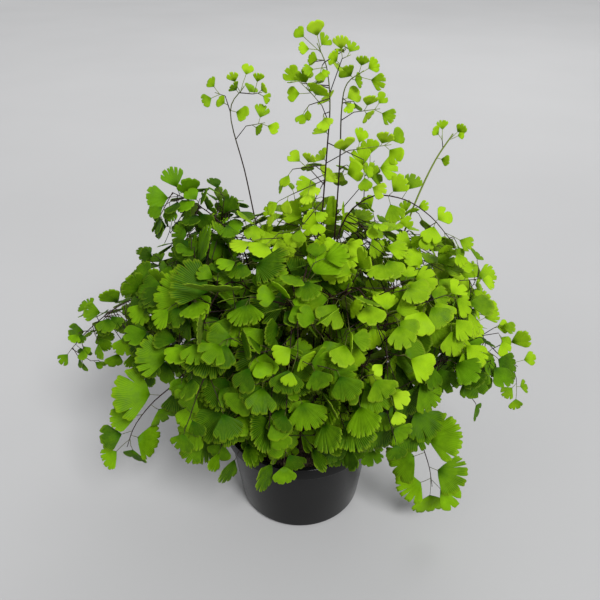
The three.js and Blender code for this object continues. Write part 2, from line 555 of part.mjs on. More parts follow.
// ---------------------------------------------------------------- leaflets and fronds
// The outline of a leaflet, along u and across v from its root: a fan that is lobed if it is
// large, notched if it is of middling size, and plain if it is small.
function fanOutline({ size, stalk }) {
  const at = (radius, degrees) => {
    const angle = THREE.MathUtils.degToRad(degrees);
    return [stalk + radius * size * Math.cos(angle), radius * size * Math.sin(angle)];
  };
  let fan = [at(0.74, -50), at(1, 4), at(0.74, 52)];
  if (size > NOTCHED_FROM) {
    fan = [at(0.72, -54), at(0.98, -24), at(0.8, 0), at(0.98, 24), at(0.72, 54)];
  }
  if (size > LOBED_FROM) {
    fan = [at(0.74, -56), at(0.96, -36), at(0.78, -18), at(1, 0), at(0.78, 18), at(0.96, 35),
      at(0.74, 56)];
  }
  return [...fan, [0, 0]];
}

function bladeSolid(leaf) {
  const shape = new THREE.Shape(fanOutline(leaf).map(([u, v]) => new THREE.Vector2(u, v)));
  const geometry = new THREE.ExtrudeGeometry(shape, { depth: BLADE, bevelEnabled: false });
  geometry.translate(0, 0, -BLADE / 2);
  const place = new THREE.Matrix4().makeBasis(leaf.direction, leaf.side, leaf.normal);
  place.setPosition(leaf.at);
  return solidOf(geometry.applyMatrix4(place));
}

// One frond: the stem from its foot in the crown, with its twigs and leaflets grown onto it.
function frondSolid(frond) {
  const foot = vector([...frond.row.root, STEM_FOOT]);
  const line = [foot, ...frond.line];
  const radii = line.map((_, i) =>
    THREE.MathUtils.lerp(STEM_BASE_RADIUS, STEM_TIP_RADIUS, i / (line.length - 1)));
  const parts = [taperedStem(line, radii, 4, frond.level)];
  for (const twig of frond.twigs.filter(({ lines }) => lines.length > 0)) {
    const twigRadii = twig.line.map((_, i) => (i ? TWIG_RADIUS : TWIG_ROOT_RADIUS));
    parts.push(taperedStem(twig.line, twigRadii, 3, UP));
  }
  parts.push(...frond.leaves.map(bladeSolid));
  return parts.reduce((whole, part) => whole.add(part));
}

// ---------------------------------------------------------------- pot, soil and crown
const wallRadius = (z) => THREE.MathUtils.mapLinear(z, 0, POT_HEIGHT, FOOT_RADIUS,
  RIM_RADIUS - COLLAR_STEP);

function potSolid() {
  const collar = POT_HEIGHT - COLLAR_HEIGHT;
  const floor = FOOT_RECESS + WALL;
  const ring = FOOT_RADIUS - FOOT_RING;
  const profile = [
    [0, 0], [FOOT_PAD, 0], [FOOT_PAD + RECESS_SLOPE, FOOT_RECESS], [ring - RECESS_SLOPE, FOOT_RECESS],
    [ring, 0], [FOOT_RADIUS - FOOT_CHAMFER, 0], [FOOT_RADIUS, FOOT_CHAMFER],
    [wallRadius(collar), collar], [RIM_RADIUS - LIP_ROUND, collar + LIP_ROUND],
    [RIM_RADIUS, POT_HEIGHT - LIP_ROUND], [RIM_RADIUS - LIP_ROUND, POT_HEIGHT],
    [wallRadius(POT_HEIGHT) - WALL, POT_HEIGHT],
    [wallRadius(floor + CORNER) - WALL, floor + CORNER], [wallRadius(floor) - WALL - CORNER, floor],
    [0, floor],
  ];
  let pot = solidOf(turnedGeometry(profile));
  for (let k = 0; k < DRAIN_HOLES; k++) {
    const angle = (2 * Math.PI * k) / DRAIN_HOLES;
    const [x, y] = [DRAIN_CIRCLE * Math.cos(angle), DRAIN_CIRCLE * Math.sin(angle)];
    pot = pot.subtract(post(x, y, -1, floor + 1, DRAIN_RADIUS, 8));
  }
  return pot;
}

// The crown is a low lumpy dome, grown a little on every side where it is the hollow it sits in.
function crownSolid(grown = 0) {
  const sphere = new THREE.SphereGeometry(1, 15, 6).rotateX(Math.PI / 2);
  const position = sphere.attributes.position;
  const p = new THREE.Vector3();
  for (let i = 0; i < position.count; i++) {
    p.fromBufferAttribute(position, i);
    const angle = Math.atan2(p.y, p.x);
    const lumps = 1 + LUMP_SHARE * Math.sin(CROWN_LUMPS * angle) * Math.hypot(p.x, p.y);
    const radius = CROWN_RADIUS * lumps + grown;
    const height = (p.z > 0 ? CROWN_TOP - SOIL_TOP : CROWN_DEPTH) + grown;
    position.setXYZ(i, p.x * radius, p.y * radius, SOIL_TOP + p.z * height);
  }
  return solidOf(sphere);
}

// The soil fills the pot round the crown, and its top is uneven.
function soilSolid() {
  const floor = FOOT_RECESS + WALL + GAP;
  const inner = (z) => wallRadius(z) - WALL - 2 * GAP;
  const corner = floor + CORNER + GAP;
  const bed = inner(SOIL_TOP) - CROWN_RADIUS;
  const rings = [1, 2 / 3, 1 / 3].map((share) => [CROWN_RADIUS + share * bed, SOIL_TOP]);
  const profile = [[0, floor], [inner(floor) - CORNER, floor], [inner(corner), corner], ...rings,
    [0, SOIL_TOP]];
  const geometry = turnedGeometry(profile);
  const position = geometry.attributes.position;
  for (let i = 0; i < position.count; i++) {
    const [x, y, z] = [position.getX(i), position.getY(i), position.getZ(i)];
    const onTop = z > SOIL_TOP / 2 && Math.hypot(x, y) > CROWN_RADIUS / 2;
    const [wave, crossWave] = [x / SOIL_WAVES[0], y / SOIL_WAVES[1]].map((turns) => 2 * Math.PI * turns);
    if (onTop) position.setZ(i, z + SOIL_RELIEF * Math.sin(wave + 1) * Math.cos(crossWave));
  }
  return solidOf(geometry).subtract(crownSolid(CROWN_GAP));
}

// ---------------------------------------------------------------- assembly
const fern = new THREE.Group();

function addPiece(name, solid, color, roughness) {
  const material = new THREE.MeshStandardMaterial({ color, roughness, metalness: 0 });
  const mesh = new THREE.Mesh(geometryOf(solid), material);
  mesh.name = name;
  fern.add(mesh);
}

addPiece("pot", potSolid(), POT_BLACK, 0.35);
addPiece("soil", soilSolid(), SOIL_BROWN, 0.95);

let crown = crownSolid();
for (const { root } of [...PLACED_FRONDS, ...FRONDS]) {
  crown = crown.subtract(post(...root, STEM_FOOT - 1, STEM_COLLAR, HOLE_RADIUS, 4));
}
addPiece("crown", crown, CROWN_BROWN, 0.9);

for (const frond of growFern()) {
  const green = new THREE.Color(LEAF_GREEN).lerp(new THREE.Color(YOUNG_GREEN), frond.row.youth);
  addPiece(frond.row.name, frondSolid(frond), green, 0.55);
}

export default fern;
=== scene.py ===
"""A potted maidenhair fern: lobed leaflets on wiry dark stems, crown, soil and a moulded pot.

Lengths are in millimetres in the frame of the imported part, with -Y the front, until a mesh is made.
"""

import math
from collections import namedtuple

import bpy
import numpy as np
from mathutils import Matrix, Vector, noise


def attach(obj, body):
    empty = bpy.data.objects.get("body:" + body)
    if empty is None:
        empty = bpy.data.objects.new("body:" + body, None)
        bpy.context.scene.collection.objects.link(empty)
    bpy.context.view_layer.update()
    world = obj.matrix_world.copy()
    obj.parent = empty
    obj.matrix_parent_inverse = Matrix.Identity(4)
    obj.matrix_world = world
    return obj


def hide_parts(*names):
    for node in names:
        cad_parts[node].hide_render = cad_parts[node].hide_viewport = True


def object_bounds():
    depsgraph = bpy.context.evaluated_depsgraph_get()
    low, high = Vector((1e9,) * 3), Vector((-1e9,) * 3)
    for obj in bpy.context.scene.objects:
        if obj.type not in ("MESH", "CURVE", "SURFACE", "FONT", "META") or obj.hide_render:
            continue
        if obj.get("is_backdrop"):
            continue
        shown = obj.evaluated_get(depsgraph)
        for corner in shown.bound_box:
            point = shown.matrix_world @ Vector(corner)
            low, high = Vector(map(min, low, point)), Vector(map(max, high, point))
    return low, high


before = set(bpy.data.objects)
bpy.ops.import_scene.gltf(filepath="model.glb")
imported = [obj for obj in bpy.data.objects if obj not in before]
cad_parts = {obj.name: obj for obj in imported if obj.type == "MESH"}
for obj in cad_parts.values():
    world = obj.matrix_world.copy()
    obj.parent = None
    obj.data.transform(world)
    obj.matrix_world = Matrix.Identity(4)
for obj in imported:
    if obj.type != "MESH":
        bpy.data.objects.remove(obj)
CAD_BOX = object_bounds()
scene = bpy.context.scene

# ---- sizes
MILLIMETRE = 0.001  # in metres
RIM_RADIUS = 50
POT_HEIGHT = 64
FOOT_RADIUS = 41
WALL = 1.5
COLLAR_HEIGHT = 9
COLLAR_STEP = 1.6
LIP_ROUND = 0.7
FOOT_CHAMFER = 2.5
CORNER = 2
FOOT_RING = 6
FOOT_PAD = 16
FOOT_RECESS = 1.6
RECESS_SLOPE = 1
DRAIN_HOLES = 6
DRAIN_RADIUS = 3.2
DRAIN_CIRCLE = 27
SOIL_TOP = 56
GAP = 0.35
CROWN_RADIUS = 29
CROWN_TOP = 60
CROWN_DEPTH = 20
CROWN_LUMPS = 5
LUMP_SHARE = 0.04
STEM_FOOT = 51  # where a stem starts, inside the crown
STEM_COLLAR = 64  # where its curve starts
STEM_STEPS = 5  # the fewest straight stretches of a stem
END_DEPTH = 0.6  # how far before a twig's end its last leaflet starts
STALK_SHARE = 0.2  # of a leaflet's length
LEAF_OFFSET = 3.5  # of placed leaflets, by turns before and behind their twig
FORWARDS = 0.5  # how far before the nearest point one starts, as a share of its distance
CLEARANCES = (1.4, 1.9, 1.1)  # of a leaflet to its own frond's stems, to others' and to leaflets
STEM_TO_STEM = 2.6
RIM_CLEARANCE = 2.5
FLOOR_CLEARANCE = 5
LOBED_FROM = 16
NOTCHED_FROM = 10.2

# ---- the fronds
# root is where the stem leaves the crown, and through are the points that it arches through. faces
# is the azimuth and elevation that the frond looks to, and youth picks its green and its stem's.
# The first ten have their twigs and leaflets placed one by one: a twig as its points, and a leaflet
# as the x and z of its middle and its length. tone is how light the leaflets are, and some rows have
# leafy_from, the height that fresh twigs start at, greening, how soon the stem turns green on its
# way up, and stem, its radii at the crown and at the tip.
PLACED_FRONDS = [
    dict(name="frond_tall_left", root=(-3, 3), faces=(-90, 15), youth=0.9, tone=0.85,
         through=[(8, 5, 112), (11, 4, 181), (14, 4, 242), (15, 4, 266), (13, 3, 284), (8, 0, 296)],
         twigs=[[(14, 4, 257), (11, 4, 266), (3, 4, 275)], [(15, 4, 272), (20, 0, 289),
                (24, -1, 291)], [(15, 4, 236), (25, -2, 245), (46, -5, 249)], [(13, 4, 224), (6, 4, 232),
                (1, 4, 236)]],
         leaflets=[(7, 303, 8), (0, 300, 6), (2, 294, 6), (12, 297, 8), (16, 290, 7), (6, 288, 6),
                   (19, 296, 7), (25, 294, 7), (4, 284, 6), (19, 283, 11), (9, 275, 11), (14, 268, 10),
                   (2, 280, 8), (-4, 280, 9), (-3, 273, 7), (13, 252, 11), (22, 249, 10), (31, 252, 9),
                   (42, 253, 9), (50, 252, 9), (48, 245, 9), (-3, 238, 8), (5, 240, 7), (12, 238, 10),
                   (4, 224, 12), (19, 227, 11), (5, 215, 11), (17, 209, 11), (7, 203, 13), (-4, 206, 12)]),
    dict(name="frond_tall_right", root=(4, 3), faces=(-80, 15), youth=0.85, tone=0.85,
         through=[(15, 8, 120), (19, 7, 180), (21, 6, 234), (21, 6, 262), (23, 5, 276), (31, 3, 283)],
         twigs=[[(22, 6, 258), (27, 3, 263), (40, 2, 265)], [(20, 7, 205), (32, 4, 222), (38, 3, 226)]],
         leaflets=[(30, 288, 6), (36, 285, 7), (38, 279, 8), (29, 277, 7), (25, 284, 8), (27, 270, 9),
                   (34, 270, 8), (41, 269, 7), (44, 262, 8), (35, 260, 7), (29, 232, 10), (37, 231, 9),
                   (42, 223, 9), (27, 199, 12), (10, 190, 12), (29, 182, 12), (24, 212, 9)]),
    dict(name="frond_wisp_left", root=(-9, 8), faces=(-90, 15), youth=0.75, tone=0.75,
         through=[(-13, 19, 122), (-24, 19, 184), (-30, 15, 226), (-36, 12, 260), (-28, 11, 274)],
         twigs=[[(-33, 12, 246), (-28, 10, 254), (-18, 9, 256)], [(-36, 12, 260), (-38, 11, 269),
                (-43, 10, 271)], [(-30, 12, 270), (-24, 11, 270), (-19, 10, 271)]],
         leaflets=[(-33, 279, 6), (-26, 281, 6), (-21, 279, 6), (-25, 272, 7), (-17, 274, 6), (-17, 267, 6),
                   (-30, 261, 8), (-20, 261, 8), (-14, 254, 7), (-22, 251, 6), (-34, 275, 7), (-45, 275, 6),
                   (-47, 268, 6), (-41, 265, 6)]),
    dict(name="frond_shoot_right", root=(12, 9), faces=(-90, 15), youth=1, tone=0.8, greening=2.2,
         stem=(0.7, 0.42),
         through=[(34, 22, 120), (58, 27, 170), (68, 27, 206), (76, 27, 229), (84, 26, 245)],
         twigs=[[(79, 27, 237), (78, 26, 244)]],
         leaflets=[(87, 249, 6), (90, 244, 6), (74, 247, 6), (79, 249, 6), (81, 231, 6)]),
    dict(name="frond_arch_right", root=(9, -3), faces=(-85, 35), youth=0.6, tone=0.6,
         through=[(16, 2, 140), (22, 4, 196), (36, 2, 217), (54, 0, 218), (70, -2, 209), (83, -3, 195)],
         twigs=[[(34, 2, 216), (35, 9, 227), (40, 11, 235)]],
         leaflets=[(31, 236, 11), (38, 242, 9), (47, 234, 11), (42, 226, 10), (51, 226, 11), (60, 226, 10),
                   (51, 211, 11), (61, 209, 10), (72, 201, 11), (79, 207, 10), (91, 194, 9), (83, 186, 8)]),
    dict(name="frond_right_hang", root=(9, -16), faces=(-85, 40), youth=0.35, tone=0.75, leafy_from=112,
         through=[(26, -34, 112), (48, -45, 119), (61, -46, 108), (70, -46, 87), (78, -46, 64),
                  (82, -46, 46)],
         twigs=[],
         leaflets=[(82, 91, 21), (62, 63, 22), (92, 60, 20), (69, 42, 19), (92, 42, 16), (84, 25, 22),
                   (46, 98, 18)]),
    dict(name="frond_left_hang", root=(-11, -15), faces=(-95, 40), youth=0.35, tone=0.32, leafy_from=118,
         through=[(-26, -30, 122), (-44, -40, 146), (-58, -42, 139), (-70, -44, 126), (-84, -44, 112),
                  (-96, -44, 95), (-103, -44, 78)],
         twigs=[[(-61, -42, 136), (-71, -44, 143)]],
         leaflets=[(-79, 148, 18), (-60, 128, 14), (-93, 123, 22), (-66, 111, 22), (-100, 105, 16),
                   (-76, 95, 21), (-110, 90, 14), (-91, 78, 18), (-113, 73, 13), (-101, 65, 16)]),
    dict(name="frond_right_far", root=(21, 1), faces=(-70, 35), youth=0.65, tone=0.7,
         through=[(46, 2, 138), (80, 1, 154), (96, 0, 142), (110, 0, 129), (125, 0, 113), (138, 0, 104)],
         twigs=[[(120, 0, 118), (127, 0, 123)], [(134, 0, 107), (139, 0, 94), (141, 0, 84)]],
         leaflets=[(58, 160, 16), (72, 142, 16), (80, 168, 14), (95, 161, 13), (88, 132, 15), (109, 151, 13),
                   (103, 122, 14), (117, 141, 11), (134, 128, 13), (116, 108, 12), (127, 102, 10),
                   (146, 107, 9), (134, 86, 9), (147, 84, 9), (142, 75, 9)]),
    dict(name="frond_left_far", root=(-21, -1), faces=(-110, 35), youth=0.35, tone=0.35,
         through=[(-44, 0, 142), (-80, 0, 158), (-105, 0, 151), (-127, 0, 134), (-142, 0, 118)],
         twigs=[],
         leaflets=[(-56, 164, 16), (-66, 140, 16), (-80, 171, 15), (-87, 144, 16), (-96, 167, 14),
                   (-97, 135, 15), (-110, 158, 13), (-109, 133, 13), (-123, 148, 11), (-122, 123, 12),
                   (-135, 133, 10), (-136, 113, 10), (-147, 113, 9)]),
    dict(name="frond_left_upper", root=(-15, 6), faces=(-95, 45), youth=0.2, tone=0.42,
         through=[(-25, 6, 140), (-33, 8, 184), (-48, 12, 201), (-60, 15, 209), (-72, 18, 214)],
         twigs=[],
         leaflets=[(-80, 213, 13), (-72, 222, 13), (-62, 219, 13), (-66, 201, 13), (-52, 213, 12),
                   (-57, 197, 13), (-47, 189, 13), (-40, 208, 12), (-35, 178, 13), (-16, 172, 12)]),
]
# The others grow by rule: name, root, through, faces, the share of the stem below the first twig,
# the number of twigs, the lowest one's length, the largest leaflet's length, and youth.
RULED_FRONDS = [
    ("upright_right", (14, 3), [(28, 15, 144), (42, 20, 180), (68, 25, 202)],
     (-75, 30), 0.48, 5, 26, 12, 0.7),
    ("right_upper", (16, -5), [(30, -10, 132), (60, -12, 168), (101, -10, 174)],
     (-75, 50), 0.42, 5, 34, 16, 0.55),
    ("right_low", (16, -12), [(34, -27, 128), (66, -32, 154), (103, -35, 104)],
     (-75, 40), 0.36, 5, 32, 19, 0.2),
    ("left_mid", (-16, -8), [(-30, -20, 130), (-66, -28, 158), (-94, -34, 118)],
     (-105, 45), 0.36, 5, 32, 19, 0.25),
    ("skirt_left", (-14, -20), [(-24, -34, 88), (-36, -48, 106), (-45, -60, 92)],
     (-108, 35), 0.3, 5, 24, 20, 0.3),
    ("skirt_front", (-1, -24), [(-2, -38, 90), (-5, -54, 106), (-9, -66, 88)],
     (-95, 35), 0.3, 5, 26, 20, 0.35),
    ("skirt_right", (12, -20), [(20, -34, 90), (31, -48, 108), (40, -58, 92)],
     (-75, 35), 0.3, 5, 24, 20, 0.25),
    ("inner_left", (-8, -12), [(-14, -26, 110), (-24, -46, 132), (-32, -62, 116)],
     (-102, 38), 0.4, 5, 28, 21, 0.4),
    ("inner_right", (5, -22), [(8, -34, 106), (16, -50, 128), (24, -64, 112)],
     (-82, 38), 0.4, 5, 28, 21, 0.3),
    ("front_left", (-8, -21), [(-20, -34, 122), (-44, -58, 150), (-60, -74, 120)],
     (-110, 42), 0.45, 5, 30, 21, 0.3),
    ("front_mid", (-3, -14), [(-7, -30, 126), (-12, -58, 156), (-16, -80, 124)],
     (-94, 42), 0.45, 5, 30, 20, 0.45),
    ("front_right", (3, -16), [(16, -34, 124), (36, -60, 148), (50, -76, 114)],
     (-78, 42), 0.45, 5, 30, 21, 0.3),
    ("front_high", (0, -7), [(0, -22, 139), (-3, -52, 182), (-7, -80, 138)],
     (-92, 50), 0.36, 5, 34, 17, 0.45),
    ("high_right", (6, -9), [(14, -16, 143), (30, -38, 184), (50, -64, 142)],
     (-80, 50), 0.36, 5, 34, 17, 0.5),
    ("high_left", (-7, -6), [(-14, -14, 143), (-38, -32, 184), (-62, -58, 140)],
     (-100, 50), 0.36, 5, 34, 19, 0.35),
    ("back_left_far", (-15, 13), [(-32, 30, 130), (-78, 58, 152), (-108, 78, 96)],
     (145, 55), 0.38, 4, 34, 16, 0.35),
    ("back_left", (-7, 16), [(-16, 34, 138), (-38, 74, 160), (-52, 104, 100)],
     (118, 50), 0.38, 4, 34, 18, 0.4),
    ("back", (1, 21), [(4, 38, 128), (8, 78, 142), (10, 104, 76)],
     (88, 45), 0.4, 4, 34, 19, 0.3),
    ("back_right", (9, 16), [(22, 36, 136), (48, 72, 156), (62, 98, 98)],
     (60, 50), 0.38, 4, 34, 18, 0.4),
    ("back_right_far", (17, 13), [(34, 34, 126), (80, 58, 142), (108, 74, 86)],
     (35, 55), 0.38, 4, 34, 16, 0.4),
]
RULE_KEYS = ("name", "root", "through", "faces", "bare", "twigs", "spread", "leaf", "youth")


def ruled(row):
    named = dict(zip(RULE_KEYS, row))
    named["name"] = "frond_" + named["name"]
    return named


ROWS = PLACED_FRONDS + [ruled(row) for row in RULED_FRONDS]

BRANCHING_ANGLE = 56
BRANCHING_SCATTER = 14
LEAN = 0.3
LAST_TWIG = 0.97
SPREAD_FALL = 0.75
SHORTEST_TWIG = 0.9
LEAF_ANGLE = 54
TWIG_SAG = 0.15
LEAF_SAG = 0.9
UPWARDS = 0.5
TILT = 0.6
TIP_SHRINK = 0.45
LEAF_SPACING = 1.1
FIRST_LEAF = 0.3
LEAFY_SHARE = 0.62
LEAF_TAPER = 0.15
BEND = 0.3
PLACED_BEND = 0.1
NECK = 0.15
TRIES = [(0, 0, 0), (0, 0, 14), (0, 0, -14), (20, 0, 0), (-20, 0, 0), (0, 22, 0), (0, -22, 0),
         (0, 0, 30), (0, 0, -30), (20, 24, 16), (-20, -24, 16), (20, -24, -16), (-20, 24, -16),
         (0, 45, 20), (0, -45, 20), (45, 0, 30), (-45, 0, 30), (70, 0, -30), (-70, 0, -30)]
SIZES = (1, 0.86, 0.72, 0.55)
SWINGS = (0, 12, -12, 24, -24, 36, -36)
FAN_BOUNDS = [(0.4, -0.63), (0.8, -0.6), (1, -0.25), (1, 0.25), (0.8, 0.6), (0.4, 0.63)]

# ---- small tools
UP = np.array([0.0, 0.0, 1.0])
DOWN = -UP


def vec(p):
    return np.array(p, float)


def unit(v):
    return v / math.sqrt(v @ v)


def cross(a, b):
    return np.array([a[1] * b[2] - a[2] * b[1], a[2] * b[0] - a[0] * b[2], a[0] * b[1] - a[1] * b[0]])


def turned(v, axis, degrees):
    angle = math.radians(degrees)
    c, s = math.cos(angle), math.sin(angle)
    return c * v + s * cross(axis, v) + (1 - c) * (axis @ v) * axis


def square_to(v, direction):
    """The part of v that is square to a unit direction."""
    return unit(v - (v @ direction) * direction)


def seeded(seed):
    """A repeatable stream of numbers from 0 to 1, by the mulberry32 rule."""
    mask = 0xFFFFFFFF
    state = seed & mask

    def draw():
        nonlocal state
        state = (state + 0x6D2B79F5) & mask
        t = ((state ^ (state >> 15)) * (1 | state)) & mask
        t = ((t + ((t ^ (t >> 7)) * (61 | t))) & mask) ^ t
        return ((t ^ (t >> 14)) & mask) / 4294967296

    return draw


def varied(draw):
    return 0.85 + 0.3 * draw()


def scattered(draw):
    """Three numbers from -0.5 to 0.5."""
    return vec([draw() - 0.5, draw() - 0.5, draw() - 0.5])


def around(turn):
    """The level direction at an angle."""
    return vec([math.cos(turn), math.sin(turn), 0])


# ---- room between the pieces
NO_LENGTH = 1e-9
SHORT_AXIS = 1e-3  # an axis shorter than this is no axis


class Outline:
    """A flat convex outline, or a line of two points, with the axes that can show it clear."""

    def __init__(self, points, normal=None):
        self.points = np.array(points)
        if len(points) == 2:
            self.edges = self.points[1:] - self.points[:1]
        else:
            self.edges = np.roll(self.points, -1, axis=0) - self.points
        self.edges /= np.linalg.norm(self.edges, axis=1)[:, None]
        self.axes = np.zeros((0, 3))
        if normal is not None:
            self.axes = np.vstack([normal, np.cross(normal, self.edges)])
        self.centre = self.points.mean(0)
        self.reach = np.linalg.norm(self.points - self.centre, axis=1).max()


class Crowd:
    """Outlines of one kind, kept as arrays so that one can be tested against all of them."""

    def __init__(self, sides, axes):
        edges = 1 if sides == 2 else sides
        self.points, self.edges, self.axes = (np.zeros((0, n, 3)) for n in (sides, edges, axes))
        self.centres, self.reaches, self.owners = np.zeros((0, 3)), np.zeros(0), np.zeros(0, int)

    def add(self, outline, owner):
        added = dict(points=outline.points, edges=outline.edges, axes=outline.axes,
                     centres=outline.centre, reaches=outline.reach, owners=owner)
        for name, row in added.items():
            setattr(self, name, np.concatenate([getattr(self, name), [row]]))

    def clear(self, outline, distance, chosen):
        """Whether the outline is this far from each chosen member, along an axis between them."""
        away = self.centres - outline.centre
        far = np.linalg.norm(away, axis=1)
        near = np.nonzero(chosen & (far <= outline.reach + self.reaches + distance))[0]
        if not len(near):
            return True
        count = len(near)
        towards = away[near][:, None] / np.maximum(far[near], NO_LENGTH)[:, None, None]
        own = np.broadcast_to(outline.axes, (count, *outline.axes.shape))
        across = np.cross(outline.edges[None, :, None], self.edges[near][:, None])
        axes = np.concatenate([towards, own, self.axes[near], across.reshape(count, -1, 3)], axis=1)
        sizes = np.linalg.norm(axes, axis=2)
        mine = axes @ outline.points.T
        theirs = axes @ self.points[near].transpose(0, 2, 1)
        gaps = np.maximum(theirs.min(2) - mine.max(2), mine.min(2) - theirs.max(2))
        apart = (sizes >= SHORT_AXIS) & (gaps / np.maximum(sizes, SHORT_AXIS) >= distance)
        return bool(apart.any(1).all())


def clear_of_pot(outline):
    """Whether points along the edges stay out of the pot and above what it stands on."""
    following = np.roll(outline.points, -1, axis=0)
    for share in (0, 0.25, 0.5, 0.75):
        q = outline.points + share * (following - outline.points)
        in_reach = np.hypot(q[:, 0], q[:, 1]) < RIM_RADIUS + RIM_CLEARANCE
        if (q[:, 2] <= FLOOR_CLEARANCE).any() or (in_reach & (q[:, 2] < POT_HEIGHT + RIM_CLEARANCE)).any():
            return False
    return True


# ---- leaflets that fill the mass
# Each cloud is an egg that fresh twigs grow towards: its middle, its radii, how many twigs are tried,
# the leaflets' lengths at its foot and at its top, and how much of the way they turn to the front.
CLOUDS = [
    ((-30, -22, 168), (34, 28, 24), 46, (24, 20), 1.0),
    ((-54, -12, 150), (28, 26, 28), 46, (21, 18), 1.0),
    ((3, -26, 110), (66, 52, 48), 340, (22, 19), 1.0),
    ((0, -38, 158), (36, 24, 30), 90, (18, 15), 1.0),
    ((4, 0, 154), (95, 80, 45), 460, (17, 12), 0.9),
    ((0, -16, 112), (52, 42, 40), 200, (20, 16), 0.9),
    ((0, 0, 142), (82, 62, 42), 240, (17, 12), 0.7),
    ((16, 2, 198), (34, 24, 42), 50, (11, 7), 0.6),
    ((-40, 8, 184), (32, 24, 26), 60, (13, 10), 0.6),
    ((-54, 12, 200), (24, 18, 18), 50, (12, 10), 0.3),
    ((60, 0, 165), (42, 34, 36), 45, (14, 9), 0.6),
    ((0, 34, 112), (74, 52, 40), 260, (20, 14), 0.5),
    ((0, 10, 120), (54, 36, 38), 200, (18, 14), 0.5),
    ((90, -30, 134), (18, 12, 12), 40, (16, 14), 0.8),
    ((-100, 70, 118), (22, 18, 24), 50, (14, 12), 0.3),
    ((100, 66, 112), (22, 18, 26), 50, (14, 12), 0.3),
    ((-110, 0, 136), (18, 12, 14), 50, (12, 10), 0.4),
    ((-130, 0, 122), (10, 8, 12), 24, (7, 6), 0.4),
    ((104, 0, 132), (18, 12, 18), 40, (11, 9), 0.5),
    ((18, 2, 273), (16, 8, 24), 40, (6, 5), 0.6),
]
# Young bright twigs in front of the mass: the frond, the twig's points, the leaflets as the x and z
# of the middle and the length, and how bright they are.
SPRIGS = [
    ("frond_front_high", [(-3, -64, 176), (-1, -75, 189), (-1, -80, 183), (-1, -82, 171)],
     [(-8, 177, 10), (3, 168, 11), (-5, 163, 8)], 1.25),
    ("frond_high_right", [(38, -52, 172), (42, -66, 172), (43, -71, 157), (45, -71, 139)],
     [(38, 160, 7), (38, 148, 10), (50, 143, 10), (42, 134, 9), (49, 131, 8)], 1.2),
]
GOLDEN_TURN = math.pi * (3 - math.sqrt(5))
TWIG_REACH = (7, 24)  # how far from its stem a fresh twig may end
TWIG_ARCH = 0.12
LEAFY_FROM = 74  # fresh twigs start no lower than this, or than their frond's own leafy_from
BOX_SPARE = 0.5
FRONT_HALF_WIDTH = 62
FRONT_FROM = -30
SKIRT = (14, 1.0)  # the front hangs no lower than this height, plus this much for each mm forward
FILL_SIZES = (1, 0.85, 0.7)
FILL_CLEARANCES = (0.9, 1.0, 0.75)
TWIG_CLEARANCES = (1.0, 0.7)  # of a fresh twig to the stems of other fronds and to leaflets
TARGET_SCATTER = 7
START_SHARES = (0.05, 0.95)  # of a stem's straight stretch, between which a fresh twig may leave it
FACING_UP = 0.3
FACING_FRONT = (0.25, -0.8, 0.6)  # the first is a share of the way that it looks aside
BACK_FROM = 15  # behind this, leaflets don't turn to the front
FILL_OUTWARDS = 0.5
FILL_SAG = 0.9
FILL_BEND = 0.4
FILL_TILT = 0.5
SPRIG_FACING = (0.1, -0.9, 0.4)


def egg_points(middle, radii, count):
    """Points spread evenly over an egg, from its top down."""
    for k in range(count):
        height = 1 - 2 * (k + 0.5) / count
        ring, turn = math.sqrt(1 - height * height), k * GOLDEN_TURN
        spread = vec([ring * math.cos(turn), ring * math.sin(turn), height])
        yield vec(middle) + spread * vec(radii), unit(spread / vec(radii))


def in_box(outline):
    """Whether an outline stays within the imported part's box, with a little to spare."""
    low, high = (np.array(corner) / MILLIMETRE for corner in CAD_BOX)
    return bool((outline.points > low + BOX_SPARE).all() and (outline.points < high - BOX_SPARE).all())


def above_skirt(outline):
    """Whether the front of the fern hangs clear above the pot's rim."""
    low, rise = SKIRT
    points = outline.points
    front = (np.abs(points[:, 0]) < FRONT_HALF_WIDTH) & (points[:, 1] < FRONT_FROM)
    return bool((~front | (points[:, 2] > low - rise * points[:, 1])).all())


# ---- growth
def curve_at(points, share):
    """A point on the smooth curve through the given points, at a share of the way along."""
    spans = len(points) - 1
    span = min(math.floor(share * spans), spans - 1)
    s = share * spans - span
    start, end = points[span], points[span + 1]
    before = points[span - 1] if span > 0 else 2 * start - end
    after = points[span + 2] if span + 2 <= spans else 2 * end - start
    leave, arrive = (end - before) / 2, (after - start) / 2
    return ((2 * s**3 - 3 * s**2 + 1) * start + (s**3 - 2 * s**2 + s) * leave
            + (3 * s**2 - 2 * s**3) * end + (s**3 - s**2) * arrive)


def lines_of(points):
    return [Outline([a, b]) for a, b in zip(points, points[1:])]


class Twig:
    def __init__(self, line, places=()):
        self.line, self.places = line, list(places)
        self.lines = lines_of(line)


class Place:
    """Where a leaflet may grow."""

    def __init__(self, at, direction, normal, size, stalk=None):
        self.at, self.direction, self.normal, self.size = at, direction, normal, size
        self.stalk = STALK_SHARE * size if stalk is None else stalk


class Leaf:
    """A leaflet in the plane of direction and side. whole is its outline from the root on, and blade
    leaves out the narrow part next to its own stem."""

    def __init__(self, place, direction, normal, size, frond):
        self.at, self.stalk, self.frond = place.at, place.stalk, frond
        self.direction, self.normal, self.size = direction, normal, size
        self.side = cross(normal, direction)
        self.tone = None  # unless the leaflet has a tone of its own
        fan = [self.on(self.stalk + u * size, v * size) for u, v in FAN_BOUNDS]
        self.whole = Outline([self.at, *fan], normal)
        self.blade = Outline([self.on(self.stalk + NECK * size, 0), *fan], normal)

    def on(self, u, v):
        return self.at + u * self.direction + v * self.side


